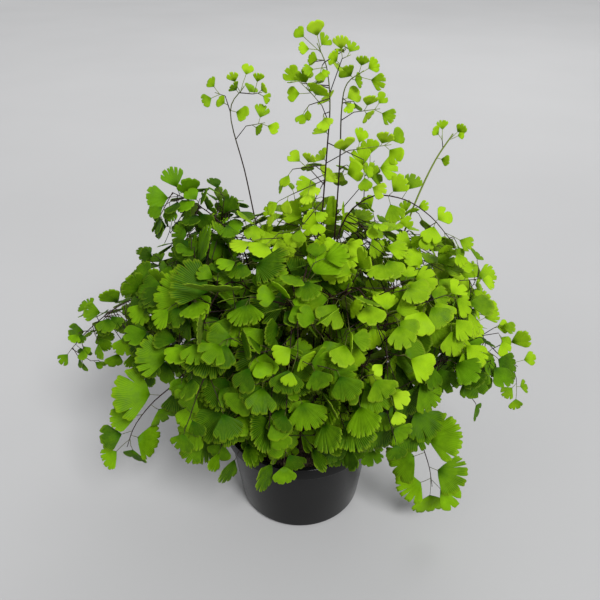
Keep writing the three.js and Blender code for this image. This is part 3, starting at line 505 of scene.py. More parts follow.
class Frond:
    """A frond's stem: its curve, its line as straight stretches, the direction that its face looks
    to, and the level direction across the plane that it arches in."""

    def __init__(self, row, index):
        self.row, self.index = row, index
        azimuth, elevation = map(math.radians, row["faces"])
        collar = vec([*row["root"], STEM_COLLAR])
        self.curve = [collar, *map(vec, row["through"])]
        steps = max(STEM_STEPS, len(row["through"]))
        self.line = [curve_at(self.curve, i / steps) for i in range(steps + 1)]
        self.lines = lines_of(self.line)
        self.face = vec([math.cos(azimuth) * math.cos(elevation),
                         math.sin(azimuth) * math.cos(elevation), math.sin(elevation)])
        self.level = unit(cross(UP, self.curve[-1] - collar))
        self.twigs, self.leaves = [], []
        self.placed = "leaflets" in row

    def face_at(self, direction):
        """Which way the frond faces where it runs in this direction: where it lies flat, more up."""
        flatness = math.hypot(direction[0], direction[1])
        return square_to(self.face + UPWARDS * flatness * cross(direction, self.level), direction)

    def along(self, share):
        return unit(curve_at(self.curve, min(share + 0.01, 1)) - curve_at(self.curve, share - 0.01))


def shares_along(starts, runs, point):
    """How far along each straight run its nearest place to a point lies."""
    return ((point - starts) * runs).sum(1) / (runs * runs).sum(1)


def nearest_on(lines, point, from_front=False):
    """The point of some lines nearest to a given one in space. Or, as seen from the front, a little
    before it, so that what grows from there points onwards."""
    seen = vec([1, 0, 1]) if from_front else vec([1, 1, 1])
    best, least = None, math.inf
    for line in lines:
        start, end = line.points
        run = (end - start) * seen
        share = min(max(((point - start) * seen) @ run / (run @ run), 0.04), 0.96)
        distance = np.linalg.norm((start + share * (end - start) - point) * seen)
        if distance < least:
            back = FORWARDS * distance / math.sqrt(run @ run) if from_front else 0
            best, least = start + max(share - back, 0.04) * (end - start), distance
    return best


def placed_leaf(frond, lines, x, z, size, side, draw):
    """A leaflet placed one by one grows onwards from its frond's stem and twigs."""
    at = nearest_on(lines, vec([x, 0, z]), True)
    middle = vec([x, at[1] + side * (LEAF_OFFSET + draw()), z])
    direction = unit(middle - at)
    stalk = max(STALK_SHARE * size, np.linalg.norm(middle - at) - size / 2)
    return Place(at, direction, square_to(frond.face, direction), size, stalk)


def places_on(line, normal, leaf):
    """Where the leaflets of a straight twig start: by turns on its two sides, and one at its end."""
    start, end = line
    length = np.linalg.norm(end - start)
    direction = (end - start) / length
    count = max(1, math.floor((1 - FIRST_LEAF) * length / (LEAF_SPACING * leaf) + 0.5))
    angle = math.radians(LEAF_ANGLE)
    across = cross(direction, normal)
    places = []
    for k in range(count):
        share = FIRST_LEAF + LEAFY_SHARE * k / count
        aside = math.cos(angle) * direction + math.sin(angle) * (1 if k % 2 else -1) * across
        at = start + share * (end - start)
        places.append(Place(at, unit(aside), normal, leaf * (1 - LEAF_TAPER * share)))
    places.append(Place(end - END_DEPTH * direction, direction, normal, leaf))
    return places


def grow_twigs(frond, stems, draw):
    """The twigs by turns left and right, each swung aside where another frond's stem is in its
    way. Near the tip a single leaflet takes a twig's place."""
    row, others = frond.row, stems.owners != frond.index
    for k in range(row["twigs"]):
        height = (k + 0.5) / row["twigs"]
        share = row["bare"] + (1 - row["bare"]) * height * LAST_TWIG
        at = curve_at(frond.curve, share)
        onwards = frond.along(share)
        normal = frond.face_at(onwards)
        side = cross(onwards, normal) * (1 if k % 2 else -1)
        angle = math.radians(BRANCHING_ANGLE + BRANCHING_SCATTER * (draw() - 0.5))
        lean = LEAN * (draw() - 0.5)
        length = row["spread"] * (1 - height) ** SPREAD_FALL * varied(draw)
        leaf = row["leaf"] * (1 - TIP_SHRINK * height)
        planned = unit(math.cos(angle) * onwards + math.sin(angle) * side + lean * normal)
        start = nearest_on(frond.lines, at)
        if length < SHORTEST_TWIG * leaf:
            frond.twigs.append(Twig([], [Place(start, planned, normal, leaf)]))
            continue
        for swing in SWINGS:
            direction = unit(turned(planned, normal, swing) + TWIG_SAG * DOWN)
            line = [start, start + length * direction]
            outline = Outline(line)
            if clear_of_pot(outline) and stems.clear(outline, STEM_TO_STEM, others):
                frond.twigs.append(Twig(line, places_on(line, normal, leaf)))
                break
    before, end = frond.line[-2:]
    onwards = unit(end - before)
    tip = Place(end - END_DEPTH * onwards, onwards, frond.face_at(onwards), row["leaf"] * (1 - TIP_SHRINK))
    frond.twigs.append(Twig([], [tip]))


class Fern:
    """All fronds, with what each leaflet has to keep clear of."""

    def __init__(self):
        self.fronds = [Frond(row, i) for i, row in enumerate(ROWS)]
        self.stems = Crowd(2, 0)
        self.leafy_from = np.array([row.get("leafy_from", LEAFY_FROM) for row in ROWS])
        self.wholes = Crowd(7, 8)
        self.blades = Crowd(7, 8)
        for frond in self.fronds:
            self.keep(frond, frond.lines)
        for i, frond in enumerate(self.fronds):
            if frond.placed:
                for points in frond.row["twigs"]:
                    first, *rest = map(vec, points)
                    frond.twigs.append(Twig([nearest_on(frond.lines, first), *rest]))
            else:
                grow_twigs(frond, self.stems, seeded(100 + i))
            for twig in frond.twigs:
                self.keep(frond, twig.lines)
        for i, frond in enumerate(self.fronds):
            self.grow_leaves(frond, seeded(500 + i))

    def keep(self, frond, lines):
        for line in lines:
            self.stems.add(line, frond.index)

    def grow_leaves(self, frond, draw):
        places = [place for twig in frond.twigs for place in twig.places]
        if frond.placed:
            lines = frond.lines + [line for twig in frond.twigs for line in twig.lines]
            places = [placed_leaf(frond, lines, *leaflet, 1 if i % 2 else -1, draw)
                      for i, leaflet in enumerate(frond.row["leaflets"])]
        sag = 0 if frond.placed else LEAF_SAG * (1 - frond.row["youth"])
        bend = PLACED_BEND if frond.placed else BEND
        for place in places:
            size = place.size * (1 if frond.placed else varied(draw))
            uneven = scattered(draw)
            direction = unit(place.direction + sag * DOWN + bend * uneven)
            normal = square_to(place.normal + TILT * uneven, direction)
            self.add(self.find_room(place, direction, normal, size, frond))

    def add(self, leaf):
        if leaf:
            leaf.frond.leaves.append(leaf)
            self.wholes.add(leaf.whole, leaf.frond.index)
            self.blades.add(leaf.blade, leaf.frond.index)

    def find_room(self, place, direction, normal, size, frond, sizes=SIZES, clearances=CLEARANCES):
        """The leaflet turned, swung or made smaller until it has room, or None."""
        side = cross(normal, direction)
        for share in sizes:
            for turn, swing, lift in TRIES:
                aimed = turned(turned(direction, normal, swing), side, lift)
                faced = turned(square_to(normal, aimed), aimed, turn)
                leaf = Leaf(place, aimed, faced, size * share, frond)
                if self.has_room(leaf, *clearances):
                    return leaf
        return None

    def has_room(self, leaf, own_stems, other_stems, leaflets):
        own = self.stems.owners == leaf.frond.index
        own_leaves = self.wholes.owners == leaf.frond.index
        return (clear_of_pot(leaf.whole)
                and self.stems.clear(leaf.blade, own_stems, own)
                and self.stems.clear(leaf.whole, other_stems, ~own)
                and self.blades.clear(leaf.blade, leaflets, own_leaves)
                and self.wholes.clear(leaf.whole, leaflets, ~own_leaves))

    def fill(self, middle, radii, count, lengths, frontal, draw):
        """Grows fresh twigs towards an egg, each from the nearest stem, with their leaflets."""
        for target, outwards in egg_points(middle, radii, count):
            target = target + TARGET_SCATTER * scattered(draw)
            runs = self.stems.points[:, 1] - self.stems.points[:, 0]
            shares = shares_along(self.stems.points[:, 0], runs, target)
            starts = self.stems.points[:, 0] + np.clip(shares, *START_SHARES)[:, None] * runs
            reaches = np.linalg.norm(starts - target, axis=1)
            reaches[starts[:, 2] < self.leafy_from[self.stems.owners]] = math.inf
            nearest = reaches.argmin()
            if not TWIG_REACH[0] <= reaches[nearest] <= TWIG_REACH[1]:
                continue
            frond, start = self.fronds[self.stems.owners[nearest]], starts[nearest]
            knee = (start + target) / 2 + TWIG_ARCH * reaches[nearest] * (UP + outwards) / 2
            lines = lines_of([start, knee, target])
            if not self.lines_clear(lines, frond):
                continue
            height = (target[2] - middle[2]) / (2 * radii[2]) + 0.5
            length = (lengths[0] + (lengths[1] - lengths[0]) * height) * varied(draw)
            front = vec(FACING_FRONT) * vec([outwards[0], 1, 1])
            facing = unit(outwards + UP * FACING_UP + (frontal * front if target[1] < BACK_FROM else 0))
            places = places_on([knee, target], square_to(facing, unit(target - knee)), length)
            grown = False
            for place in reversed(places):
                uneven = scattered(draw)
                direction = unit(place.direction + FILL_OUTWARDS * outwards + FILL_SAG * DOWN
                                 + FILL_BEND * uneven)
                normal = square_to(facing + FILL_TILT * uneven, direction)
                leaf = self.find_room(place, direction, normal, place.size, frond,
                                      FILL_SIZES, FILL_CLEARANCES)
                if leaf and above_skirt(leaf.whole) and in_box(leaf.whole):
                    self.add(leaf)
                    grown = True
                elif not grown:
                    break
            if grown:
                frond.twigs.append(Twig([start, knee, target]))
                self.keep(frond, lines)

    def grow_sprig(self, name, points, leaflets, tone, draw):
        """A young twig that hangs in front of the mass, with its leaflets placed one by one."""
        frond = next(frond for frond in self.fronds if frond.row["name"] == name)
        points = [nearest_on(frond.lines, vec(points[0])), *map(vec, points[1:])]
        lines = lines_of(points)
        frond.twigs.append(Twig(points))
        self.keep(frond, lines)
        for i, leaflet in enumerate(leaflets):
            place = placed_leaf(frond, lines[1:], *leaflet, 1 if i % 2 else -1, draw)
            normal = square_to(vec(SPRIG_FACING), place.direction)
            leaf = self.find_room(place, place.direction, normal, place.size, frond,
                                  FILL_SIZES, FILL_CLEARANCES)
            if leaf:
                leaf.tone = tone
                self.add(leaf)

    def lines_clear(self, lines, frond):
        to_stems, to_leaflets = TWIG_CLEARANCES
        return all(clear_of_pot(line) and above_skirt(line)
                   and self.stems.clear(line, to_stems, self.stems.owners != frond.index)
                   and self.wholes.clear(line, to_leaflets, self.wholes.owners != frond.index)
                   and self.blades.clear(line, to_leaflets, self.blades.owners == frond.index)
                   for line in lines)


# ---- meshes
class Mesh:
    """Points in millimetres, faces, and numbers kept for each point, gathered from many pieces."""

    def __init__(self, *names):
        self.points, self.faces, self.flat, self.count = [], [], [], 0
        self.values = {name: [] for name in names}

    def add(self, points, faces, flat=(), **values):
        points = np.asarray(points, float)
        self.faces += [[self.count + i for i in face] for face in faces]
        self.flat += list(flat) or [False] * len(faces)
        self.points.append(points)
        for name, kept in self.values.items():
            kept.append(np.broadcast_to(np.asarray(values[name], float), len(points)))
        self.count += len(points)

    def build(self, name, *materials):
        mesh = bpy.data.meshes.new(name)
        mesh.from_pydata(np.concatenate(self.points) * MILLIMETRE, [], self.faces)
        for key, kept in self.values.items():
            mesh.attributes.new(key, "FLOAT", "POINT").data.foreach_set("value", np.concatenate(kept))
        mesh.polygons.foreach_set("use_smooth", [not flat for flat in self.flat])
        mesh.update()
        for material in materials:
            mesh.materials.append(material)
        return linked(name, mesh)


def linked(name, data):
    """A new object in the scene."""
    made = bpy.data.objects.new(name, data)
    scene.collection.objects.link(made)
    return made


def settle(piece, slot, *nodes):
    """Rides a finished piece on the frame and hides the nodes it stands for. Its material slot is not used.
    """
    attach(piece, "root")
    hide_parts(*nodes)


def band(low, sides):
    """The faces between a ring of points and the next ring, from the first one's lowest number."""
    return [[low + a, low + b, low + b + sides, low + a + sides]
            for a, b in enumerate([*range(1, sides), 0])]


def tube(points, radii, sides):
    """A closed round tube along points, as points and faces, with the share along it of each point."""
    points = np.array(points, float)
    ahead = np.vstack([points[1:], points[-1:]]) - np.vstack([points[:1], points[:-1]])
    directions = ahead / np.linalg.norm(ahead, axis=1)[:, None]
    across = square_to(vec([0.3, 0.9, 0.2]), directions[0])
    rings, shares = [], []
    for i, (p, direction) in enumerate(zip(points, directions)):
        across = square_to(across, direction)
        over = cross(direction, across)
        turns = 2 * math.pi * np.arange(sides) / sides
        rings.append(p + radii[i] * (np.cos(turns)[:, None] * across + np.sin(turns)[:, None] * over))
        shares += [i / (len(points) - 1)] * sides
    faces = [face for i in range(len(points) - 1) for face in band(i * sides, sides)]
    last = (len(points) - 1) * sides
    faces.append(list(range(sides))[::-1])
    faces.append([last + k for k in range(sides)])
    return np.concatenate(rings), faces, np.array(shares)


# ---- leaflets
BLADE = 0.26  # thickness of a leaflet
SHOULDER = 0.2  # how much shorter the fan is at its sides
SKEW = 0.1  # between the two sides
LOBE_SCATTER = 0.07  # how much shorter than the fan a lobe may be
SIDE_NOTCH = 0.08
RARE_NOTCH = 2.2  # the higher, the fewer deep notches
FOOT = 0.03  # where the blade starts, as a share of its length
WAVE = 0.035
UPRIGHT_SHARE = 0.8  # of the leaflets, cupped upwards
STALK_RADIUS = 0.17

# What the leaflets of one size have in common: half their angle in degrees, how many lobes they have,
# how deep their notches and teeth are, and where points lie across a lobe and along the blade.
FanShape = namedtuple("FanShape", "half lobes notch crenels samples rows")
LOBED = FanShape(55, (5, 8), (0.08, 0.52), 0.018, (0, 0.05, 0.16, 0.3, 0.42, 0.5, 0.58, 0.7, 0.84, 0.95),
                 (0.32, 0.58, 0.84, 1))
NOTCHED = FanShape(49, (3, 6), (0.06, 0.46), 0.014, (0, 0.06, 0.2, 0.38, 0.5, 0.62, 0.8, 0.94),
                   (0.4, 0.7, 0.88, 1))
PLAIN = FanShape(46, (2, 4), (0.08, 0.42), 0.012, (0, 0.07, 0.2, 0.38, 0.5, 0.62, 0.8, 0.93),
                 (0.5, 0.85, 1))


def shape_of(size):
    if size > LOBED_FROM:
        return LOBED
    return NOTCHED if size > NOTCHED_FROM else PLAIN


def fan_outline(shape, draw):
    """The angles of a leaflet's outline, from side to side, with the fan's own reach and the lobed
    edge's at each as shares of its length, and the place in its lobe."""
    low, high = shape.lobes
    count = low + math.floor(draw() * (high - low + 1))
    widths = np.array([0.6 + 0.8 * draw() for _ in range(count)])
    reaches = [1 - LOBE_SCATTER * draw() for _ in range(count)]
    starts = np.concatenate([[0], np.cumsum(widths)]) / widths.sum()
    least, most = shape.notch
    notches = [least + (most - least) * draw() ** RARE_NOTCH for _ in range(count + 1)]
    notches[0] = notches[-1] = SIDE_NOTCH
    half = math.radians(shape.half * (0.88 + 0.24 * draw()))
    skew = SKEW * (draw() - 0.5)
    angles, edge, lobed, within = [], [], [], []
    for k in range(count):
        for t in shape.samples + ((1,) if k == count - 1 else ()):
            across = 2 * (starts[k] + t * (starts[k + 1] - starts[k])) - 1
            depth = notches[k] if t < 0.5 else notches[k + 1]
            reach = 1 - SHOULDER * abs(across + skew) ** 3
            cut = 1 - depth * abs(2 * t - 1) ** (4 + 8 * depth)
            cut -= shape.crenels * (1 + math.cos(4 * math.pi * t))
            angles.append(half * across)
            edge.append(reach)
            lobed.append(reach * cut * reaches[k])
            within.append(t)
    return np.array(angles), np.array(edge), np.array(lobed), np.array(within)


def leaflet(leaf, draw):
    """A thin cupped fan, closed, with a crease between its lobes: points, faces, which faces are its
    rim, and the numbers that its colours are made from."""
    shape = shape_of(leaf.size)
    angles, edge, lobed, within = fan_outline(shape, draw)
    cup, droop, pleat = 0.05 + 0.09 * draw(), 0.04 + 0.1 * draw(), 0.004 + 0.008 * draw()
    wave, phase = WAVE * draw(), math.tau * draw()
    flip = 1 if draw() < UPRIGHT_SHARE else -0.6
    us, vs, rims, creases = [FOOT], [0.0], [0.0], [0.0]
    for row in shape.rows:
        reach = row * (edge + (lobed - edge) * row * row)
        us += list(reach * np.cos(angles))
        vs += list(reach * np.sin(angles))
        rims += [row] * len(angles)
        creases += list(row * np.cos(2 * math.pi * within))
    us, vs, rims = np.array(us), np.array(vs), np.array(rims)
    rise = flip * (cup * (vs * vs - 0.1) - droop * us * us) - pleat * np.array(creases)
    rise += wave * rims * np.sin(3 * np.arctan2(vs, us + 0.2) + phase)
    size, columns = leaf.size, len(angles)
    middle = (leaf.at + (leaf.stalk + size * us)[:, None] * leaf.direction
              + (size * vs)[:, None] * leaf.side + (size * rise)[:, None] * leaf.normal)
    count = len(middle)
    points = np.vstack([middle + BLADE / 2 * leaf.normal, middle - BLADE / 2 * leaf.normal])
    top = [[0, 1 + j, 2 + j] for j in range(columns - 1)]
    for i in range(len(shape.rows) - 1):
        for j in range(columns - 1):
            a = 1 + i * columns + j
            top.append([a, a + columns, a + columns + 1, a + 1])
    under = [[count + i for i in face[::-1]] for face in top]
    left = [1 + i * columns for i in range(len(shape.rows))]
    right = [i + columns - 1 for i in left]
    loop = [0, *left, *range(left[-1] + 1, right[-1]), *right[::-1]]
    rim = [[b, a, count + a, count + b] for a, b in zip(loop, loop[1:] + loop[:1])]
    flat = [False] * (2 * len(top)) + [True] * len(rim)
    veins = np.concatenate([[0], np.tile(angles, len(shape.rows))])
    return points, top + under + rim, flat, np.tile(rims, 2), np.tile(veins, 2), [0.0] * count + [1.0] * count


# ---- stems
STEM_RADII = (0.6, 0.22)  # of a frond's stem, at the crown and at its tip
TWIG_RADII = (0.27, 0.18)
STEM_RINGS = 26
TUBE_SIDES = (8, 6, 5)  # of stems, twigs and stalks
STALK_DEPTH = 0.08  # how far a stalk runs into its leaflet, as a share of the leaflet's length
STALK_BOW = 0.06


def smooth_stem(frond):
    foot = vec([*frond.row["root"], STEM_FOOT])
    return [foot] + [curve_at(frond.curve, i / STEM_RINGS) for i in range(STEM_RINGS + 1)]


def closest(points, p):
    """The point of a run of points nearest to p, between them."""
    points = np.array(points)
    starts, runs = points[:-1], points[1:] - points[:-1]
    shares = np.clip(shares_along(starts, runs, p), 0, 1)
    found = starts + shares[:, None] * runs
    return found[np.linalg.norm(found - p, axis=1).argmin()]


def grow_stems(frond, mesh):
    """The stem, its twigs and the leaflets' hair-thin stalks."""
    stem = smooth_stem(frond)
    stem_sides, twig_sides, stalk_sides = TUBE_SIDES
    radii = np.linspace(*frond.row.get("stem", STEM_RADII), len(stem))
    youth = frond.row["youth"]
    points, faces, shares = tube(stem, radii, stem_sides)
    mesh.add(points, faces, age=1 - shares * frond.row.get("greening", youth))
    runs = [stem]
    for twig in frond.twigs:
        if not twig.line:
            continue
        line = [closest(stem, twig.line[0]), *twig.line[1:]]
        radii = np.linspace(*TWIG_RADII, len(line))
        points, faces, shares = tube(line, radii, twig_sides)
        mesh.add(points, faces, age=0.8 - 0.8 * youth * shares)
        runs.append(line)
    for leaf in frond.leaves:
        start = min((closest(run, leaf.at) for run in runs), key=lambda q: np.linalg.norm(q - leaf.at))
        end = leaf.at + (leaf.stalk + STALK_DEPTH * leaf.size) * leaf.direction
        bow = (start + end) / 2 + STALK_BOW * leaf.stalk * leaf.normal
        points, faces, _ = tube([start, bow, end], [STALK_RADIUS] * 3, stalk_sides)
        mesh.add(points, faces, age=0.6 * (1 - youth))


# ---- materials
class Shades:
    """A material's node tree, with short calls for what its patterns need."""

    def __init__(self, name):
        self.material = bpy.data.materials.new(name)
        self.material.use_nodes = True
        self.tree = self.material.node_tree
        self.shader = self.tree.nodes["Principled BSDF"]

    def node(self, kind, inputs=(), **settings):
        made = self.tree.nodes.new("ShaderNode" + kind)
        for key, value in settings.items():
            setattr(made, key, value)
        for key, value in dict(inputs).items():
            self.feed(made.inputs[key], value)
        return made

    def feed(self, socket, value):
        if isinstance(value, bpy.types.NodeSocket):
            self.tree.links.new(value, socket)
        else:
            socket.default_value = value

    def math(self, operation, *values):
        return self.node("Math", dict(enumerate(values)), operation=operation).outputs[0]

    def attribute(self, name):
        return self.node("Attribute", attribute_name=name).outputs["Fac"]

    def noise(self, scale, detail=3, roughness=0.5):
        where = self.node("TexCoord").outputs["Object"]
        made = self.node("TexNoise", {"Vector": where, "Scale": scale, "Detail": detail,
                                      "Roughness": roughness})
        return made.outputs["Fac"]

    def between(self, value, low, high, to_low=0.0, to_high=1.0):
        made = self.node("MapRange", {"Value": value, "From Min": low, "From Max": high,
                                      "To Min": to_low, "To Max": to_high})
        return made.outputs[0]

    def mottled(self, low, high, *grain):
        """A noise of a given scale, detail and roughness that runs from low to high."""
        return self.between(self.noise(*grain), 0.3, 0.7, low, high)

    def toned(self, pattern):
        """A pattern made lighter or darker by each grain's own tone."""
        return self.math("ADD", pattern, self.between(self.attribute("tone"), 0, 1, -0.3, 0.3))

    def mix(self, share, a, b):
        made = self.node("Mix", data_type="RGBA")
        self.feed(made.inputs[0], share)
        for socket, colour in ((made.inputs[6], a), (made.inputs[7], b)):
            self.feed(socket, colour if isinstance(colour, bpy.types.NodeSocket) else (*colour, 1))
        return made.outputs[2]

    def bump(self, height, strength, distance):
        made = self.node("Bump", {"Height": height, "Strength": strength, "Distance": distance})
        self.feed(self.shader.inputs["Normal"], made.outputs[0])
        return made.outputs[0]

    def set(self, **values):
        for key, value in values.items():
            self.feed(self.shader.inputs[key.replace("_", " ")], value)


def leaf_material(name, deep, light, edge):
    """Leaf green from deep to light by leaflet, with painted shade towards the stalk, a painted highlight
    along the rims, paler undersides and fanned veins.
    """
    shades = Shades(name)
    tone = shades.attribute("tone")
    rim = shades.attribute("rim")
    patches = shades.mottled(-0.24, 0.24, 120, 5, 0.6)
    green = shades.mix(shades.math("ADD", tone, patches), deep, light)
    green = shades.mix(shades.between(tone, 1, 2), green, edge)
    # painted shade: each leaflet is darker towards its stalk
    green = shades.mix(shades.between(rim, 0, 0.6, 0.45, 0), green, deep)
    # painted highlight: a pale band along each leaflet's rim, as where light shines through the thin edge
    green = shades.mix(shades.between(rim, 0.88, 1, 0, 0.24), green, edge)
    veins = shades.math("MULTIPLY", shades.attribute("vein"), 46)
    ridges = shades.math("POWER", shades.math("ABSOLUTE", shades.math("COSINE", veins)), 5)
    ridges = shades.math("MULTIPLY", ridges, shades.between(rim, 0.1, 0.5))
    green = shades.mix(shades.math("MULTIPLY", ridges, 0.2), green, edge)
    under = shades.math("MULTIPLY", shades.attribute("under"), 0.35)
    green = shades.mix(under, green, tuple(0.6 * c + 0.04 for c in edge))
    shades.set(Base_Color=green, Specular_IOR_Level=0.06, Roughness=shades.mottled(0.45, 0.65, 240, 2))
    shades.bump(shades.math("ADD", ridges, shades.noise(500, 2)), 0.12, 0.0002)
    through = shades.node("BsdfTranslucent", {"Color": green})
    mixed = shades.node("MixShader", {0: 0.36, 1: shades.shader.outputs[0], 2: through.outputs[0]})
    output = shades.tree.nodes["Material Output"]
    shades.feed(output.inputs["Surface"], mixed.outputs[0])
    return shades.material


def stem_material():
    shades = Shades("stem")
    streaks = shades.noise(350, 2)
    dark = shades.mix(streaks, (0.006, 0.003, 0.003), (0.03, 0.012, 0.008))
    fresh = shades.mix(streaks, (0.12, 0.16, 0.02), (0.2, 0.27, 0.03))
    age = shades.between(shades.attribute("age"), 0.05, 0.5)
    shades.set(Base_Color=shades.mix(age, fresh, dark), Roughness=0.45, Specular_IOR_Level=0.15)
    return shades.material


def pot_material():
    shades = Shades("pot_plastic")
    clouds = shades.noise(40, 4)
    shades.set(Base_Color=shades.mix(clouds, (0.003, 0.003, 0.003), (0.007, 0.007, 0.007)))
    shades.set(Roughness=shades.mottled(0.12, 0.22, 90, 5, 0.6), Specular_IOR_Level=0.13)
    shades.bump(shades.noise(400, 2), 0.04, 0.0001)
    return shades.material


def soil_material():
    shades = Shades("soil")
    crumbs = shades.toned(shades.noise(420, 6, 0.65))
    dark = shades.mix(crumbs, (0.008, 0.005, 0.003), (0.06, 0.034, 0.018))
    flecks = shades.between(shades.noise(900, 2), 0.62, 0.68)
    shades.set(Base_Color=shades.mix(flecks, dark, (0.13, 0.09, 0.05)), Roughness=0.9)
    shades.bump(crumbs, 0.6, 0.0008)
    return shades.material


def crown_material():
    shades = Shades("crown")
    fibres = shades.noise(600, 4, 0.6)
    brown = shades.mix(shades.toned(fibres), (0.012, 0.006, 0.003), (0.09, 0.045, 0.02))
    shades.set(Base_Color=brown, Roughness=0.75)
    shades.bump(fibres, 0.7, 0.0006)
    return shades.material


def floor_material():
    shades = Shades("floor")
    tone = shades.noise(3, 3)
    shades.set(Base_Color=shades.mix(tone, (0.33, 0.33, 0.332), (0.37, 0.37, 0.372)), Roughness=0.7)
    return shades.material


LEAF_MATERIALS = {
    "leaf_young": leaf_material("leaf_young", (0.07, 0.18, 0.001), (0.31, 0.54, 0.004), (0.55, 0.7, 0.05)),
    "leaf_green": leaf_material("leaf_green", (0.02, 0.082, 0.001), (0.18, 0.385, 0.002), (0.42, 0.58, 0.02)),
    "leaf_dark": leaf_material("leaf_dark", (0.012, 0.055, 0.001), (0.122, 0.3, 0.002), (0.31, 0.48, 0.015)),
}
STEM_MATERIAL = stem_material()
SLOTS_FROM = ((0.5, "leaf_young"), (0.27, "leaf_green"), (0, "leaf_dark"))  # by the least youth


# ---- fronds
TONE_SCATTER = 0.95
TONE_MIDDLE = 0.46


def tone_with_painted_light(leaf):
    """Painted light: leaflets are lighter higher up and to the right, where the light falls, and larger ones
    are darker.
    """
    x, _, z = leaf.at
    return 0.05 + 0.6 * (z - 90) / 180 + 0.16 * x / 100 + 0.022 * (15 - leaf.size)


def dress_frond(frond):
    draw = seeded(900 + frond.index)
    leaves = Mesh("tone", "rim", "vein", "under")
    for leaf in frond.leaves:
        # leaflets of ruled fronds take a tone with painted light in it, lighter higher up and to the right
        base = frond.row["tone"] if frond.placed else tone_with_painted_light(leaf)
        tone = leaf.tone or max(base + TONE_SCATTER * (draw() - TONE_MIDDLE), 0)
        points, faces, flat, rim, vein, under = leaflet(leaf, draw)
        leaves.add(points, faces, flat, tone=tone, rim=rim, vein=vein, under=under)
    slot = next(name for least, name in SLOTS_FROM if frond.row["youth"] >= least)
    name = frond.row["name"].removeprefix("frond_")
    settle(leaves.build(f"{name}_leaflets", LEAF_MATERIALS[slot]), slot, frond.row["name"])
    stems = Mesh("age")
    grow_stems(frond, stems)
    settle(stems.build(f"{name}_stems", STEM_MATERIAL), "stem", frond.row["name"])


fern = Fern()
for i, sprig in enumerate(SPRIGS):
    fern.grow_sprig(*sprig, seeded(600 + i))
for i, cloud in enumerate(CLOUDS):
    fern.fill(*cloud, seeded(700 + i))
for each in fern.fronds:
    dress_frond(each)

# ---- pot, soil and crown
ROUND_SIDES = 160
EASE = 0.8  # how far from a moulded edge its rounding starts
EDGE_STEPS = 4
SOIL_WAVES = ((1.2, 10.3, 11.9), (0.5, 4.1, -5.3))  # height, and lengths along X and Y
GRAIN = 0.9
CRUMBS = 420
CRUMBS_FROM = 26  # millimetres from the middle of the pot
HOLLOW = 8  # how deep the soil is hollowed out under the crown
HOLE_SIDES = 24
DRILL = (-5, 10)  # the heights that a drain hole is cut between
SHARP_FROM = 35  # degrees between two faces whose edge stays sharp
OLD_STEMS = 34
SCALES = 420


def wall_radius(z):
    return FOOT_RADIUS + (RIM_RADIUS - COLLAR_STEP - FOOT_RADIUS) * z / POT_HEIGHT


def eased(corners):
    """A run of straight stretches with rounded corners."""
    rounded = [vec(corners[0])]
    for before, corner, after in zip(corners, corners[1:], corners[2:]):
        corner = vec(corner)
        legs = [vec(before) - corner, vec(after) - corner]
        reach = min(EASE, *(0.45 * np.linalg.norm(leg) for leg in legs))
        start, end = (corner + reach * unit(leg) for leg in legs)
        for share in np.linspace(0, 1, EDGE_STEPS + 1):
            rounded.append((1 - share) ** 2 * start + 2 * share * (1 - share) * corner + share**2 * end)
    return rounded + [vec(corners[-1])]


def lathe(profile, sides):
    """A closed body turned round the Z axis. Its profile runs from the axis, out and up, back to it."""
    turns = 2 * math.pi * np.arange(sides) / sides
    ring = np.column_stack([np.cos(turns), np.sin(turns)])
    rings = [np.column_stack([r * ring, np.full(sides, z)]) for r, z in profile[1:-1]]
    points = np.vstack([[(0, 0, profile[0][1])], *rings, [(0, 0, profile[-1][1])]])
    following = np.roll(np.arange(sides), -1)
    faces = [[0, 1 + b, 1 + a] for a, b in enumerate(following)]
    for i in range(len(rings) - 1):
        faces += band(1 + i * sides, sides)
    last = len(points) - 1
    faces += [[last, last - sides + a, last - sides + b] for a, b in enumerate(following)]
    return points, faces


def pot_profile():
    ring, collar, floor = FOOT_RADIUS - FOOT_RING, POT_HEIGHT - COLLAR_HEIGHT, FOOT_RECESS + WALL
    return eased([
        (0, 0), (FOOT_PAD, 0), (FOOT_PAD + RECESS_SLOPE, FOOT_RECESS), (ring - RECESS_SLOPE, FOOT_RECESS),
        (ring, 0), (FOOT_RADIUS - FOOT_CHAMFER, 0), (FOOT_RADIUS, FOOT_CHAMFER),
        (wall_radius(collar), collar), (RIM_RADIUS, collar + LIP_ROUND), (RIM_RADIUS, POT_HEIGHT),
        (wall_radius(POT_HEIGHT) - WALL, POT_HEIGHT), (wall_radius(floor + CORNER) - WALL, floor + CORNER),
        (wall_radius(floor) - WALL - CORNER, floor), (0, floor),
    ])


def make_pot():
    body, drill = Mesh(), Mesh()
    body.add(*lathe(pot_profile(), ROUND_SIDES))
    low, high = DRILL
    points, faces = lathe([(0, low), (DRAIN_RADIUS, low), (DRAIN_RADIUS, high), (0, high)], HOLE_SIDES)
    for k in range(DRAIN_HOLES):
        drill.add(points + DRAIN_CIRCLE * around(2 * math.pi * k / DRAIN_HOLES), faces)
    pot, cutter = body.build("nursery_pot", pot_material()), drill.build("drill")
    cut = pot.modifiers.new("drain_holes", "BOOLEAN")
    cut.object, cut.solver = cutter, "EXACT"
    bored = bpy.data.meshes.new_from_object(pot.evaluated_get(bpy.context.evaluated_depsgraph_get()))
    pot.modifiers.clear()
    pot.data = bored
    bpy.data.objects.remove(cutter)
    bored.set_sharp_from_angle(angle=math.radians(SHARP_FROM))
    settle(pot, "pot_plastic", "pot")


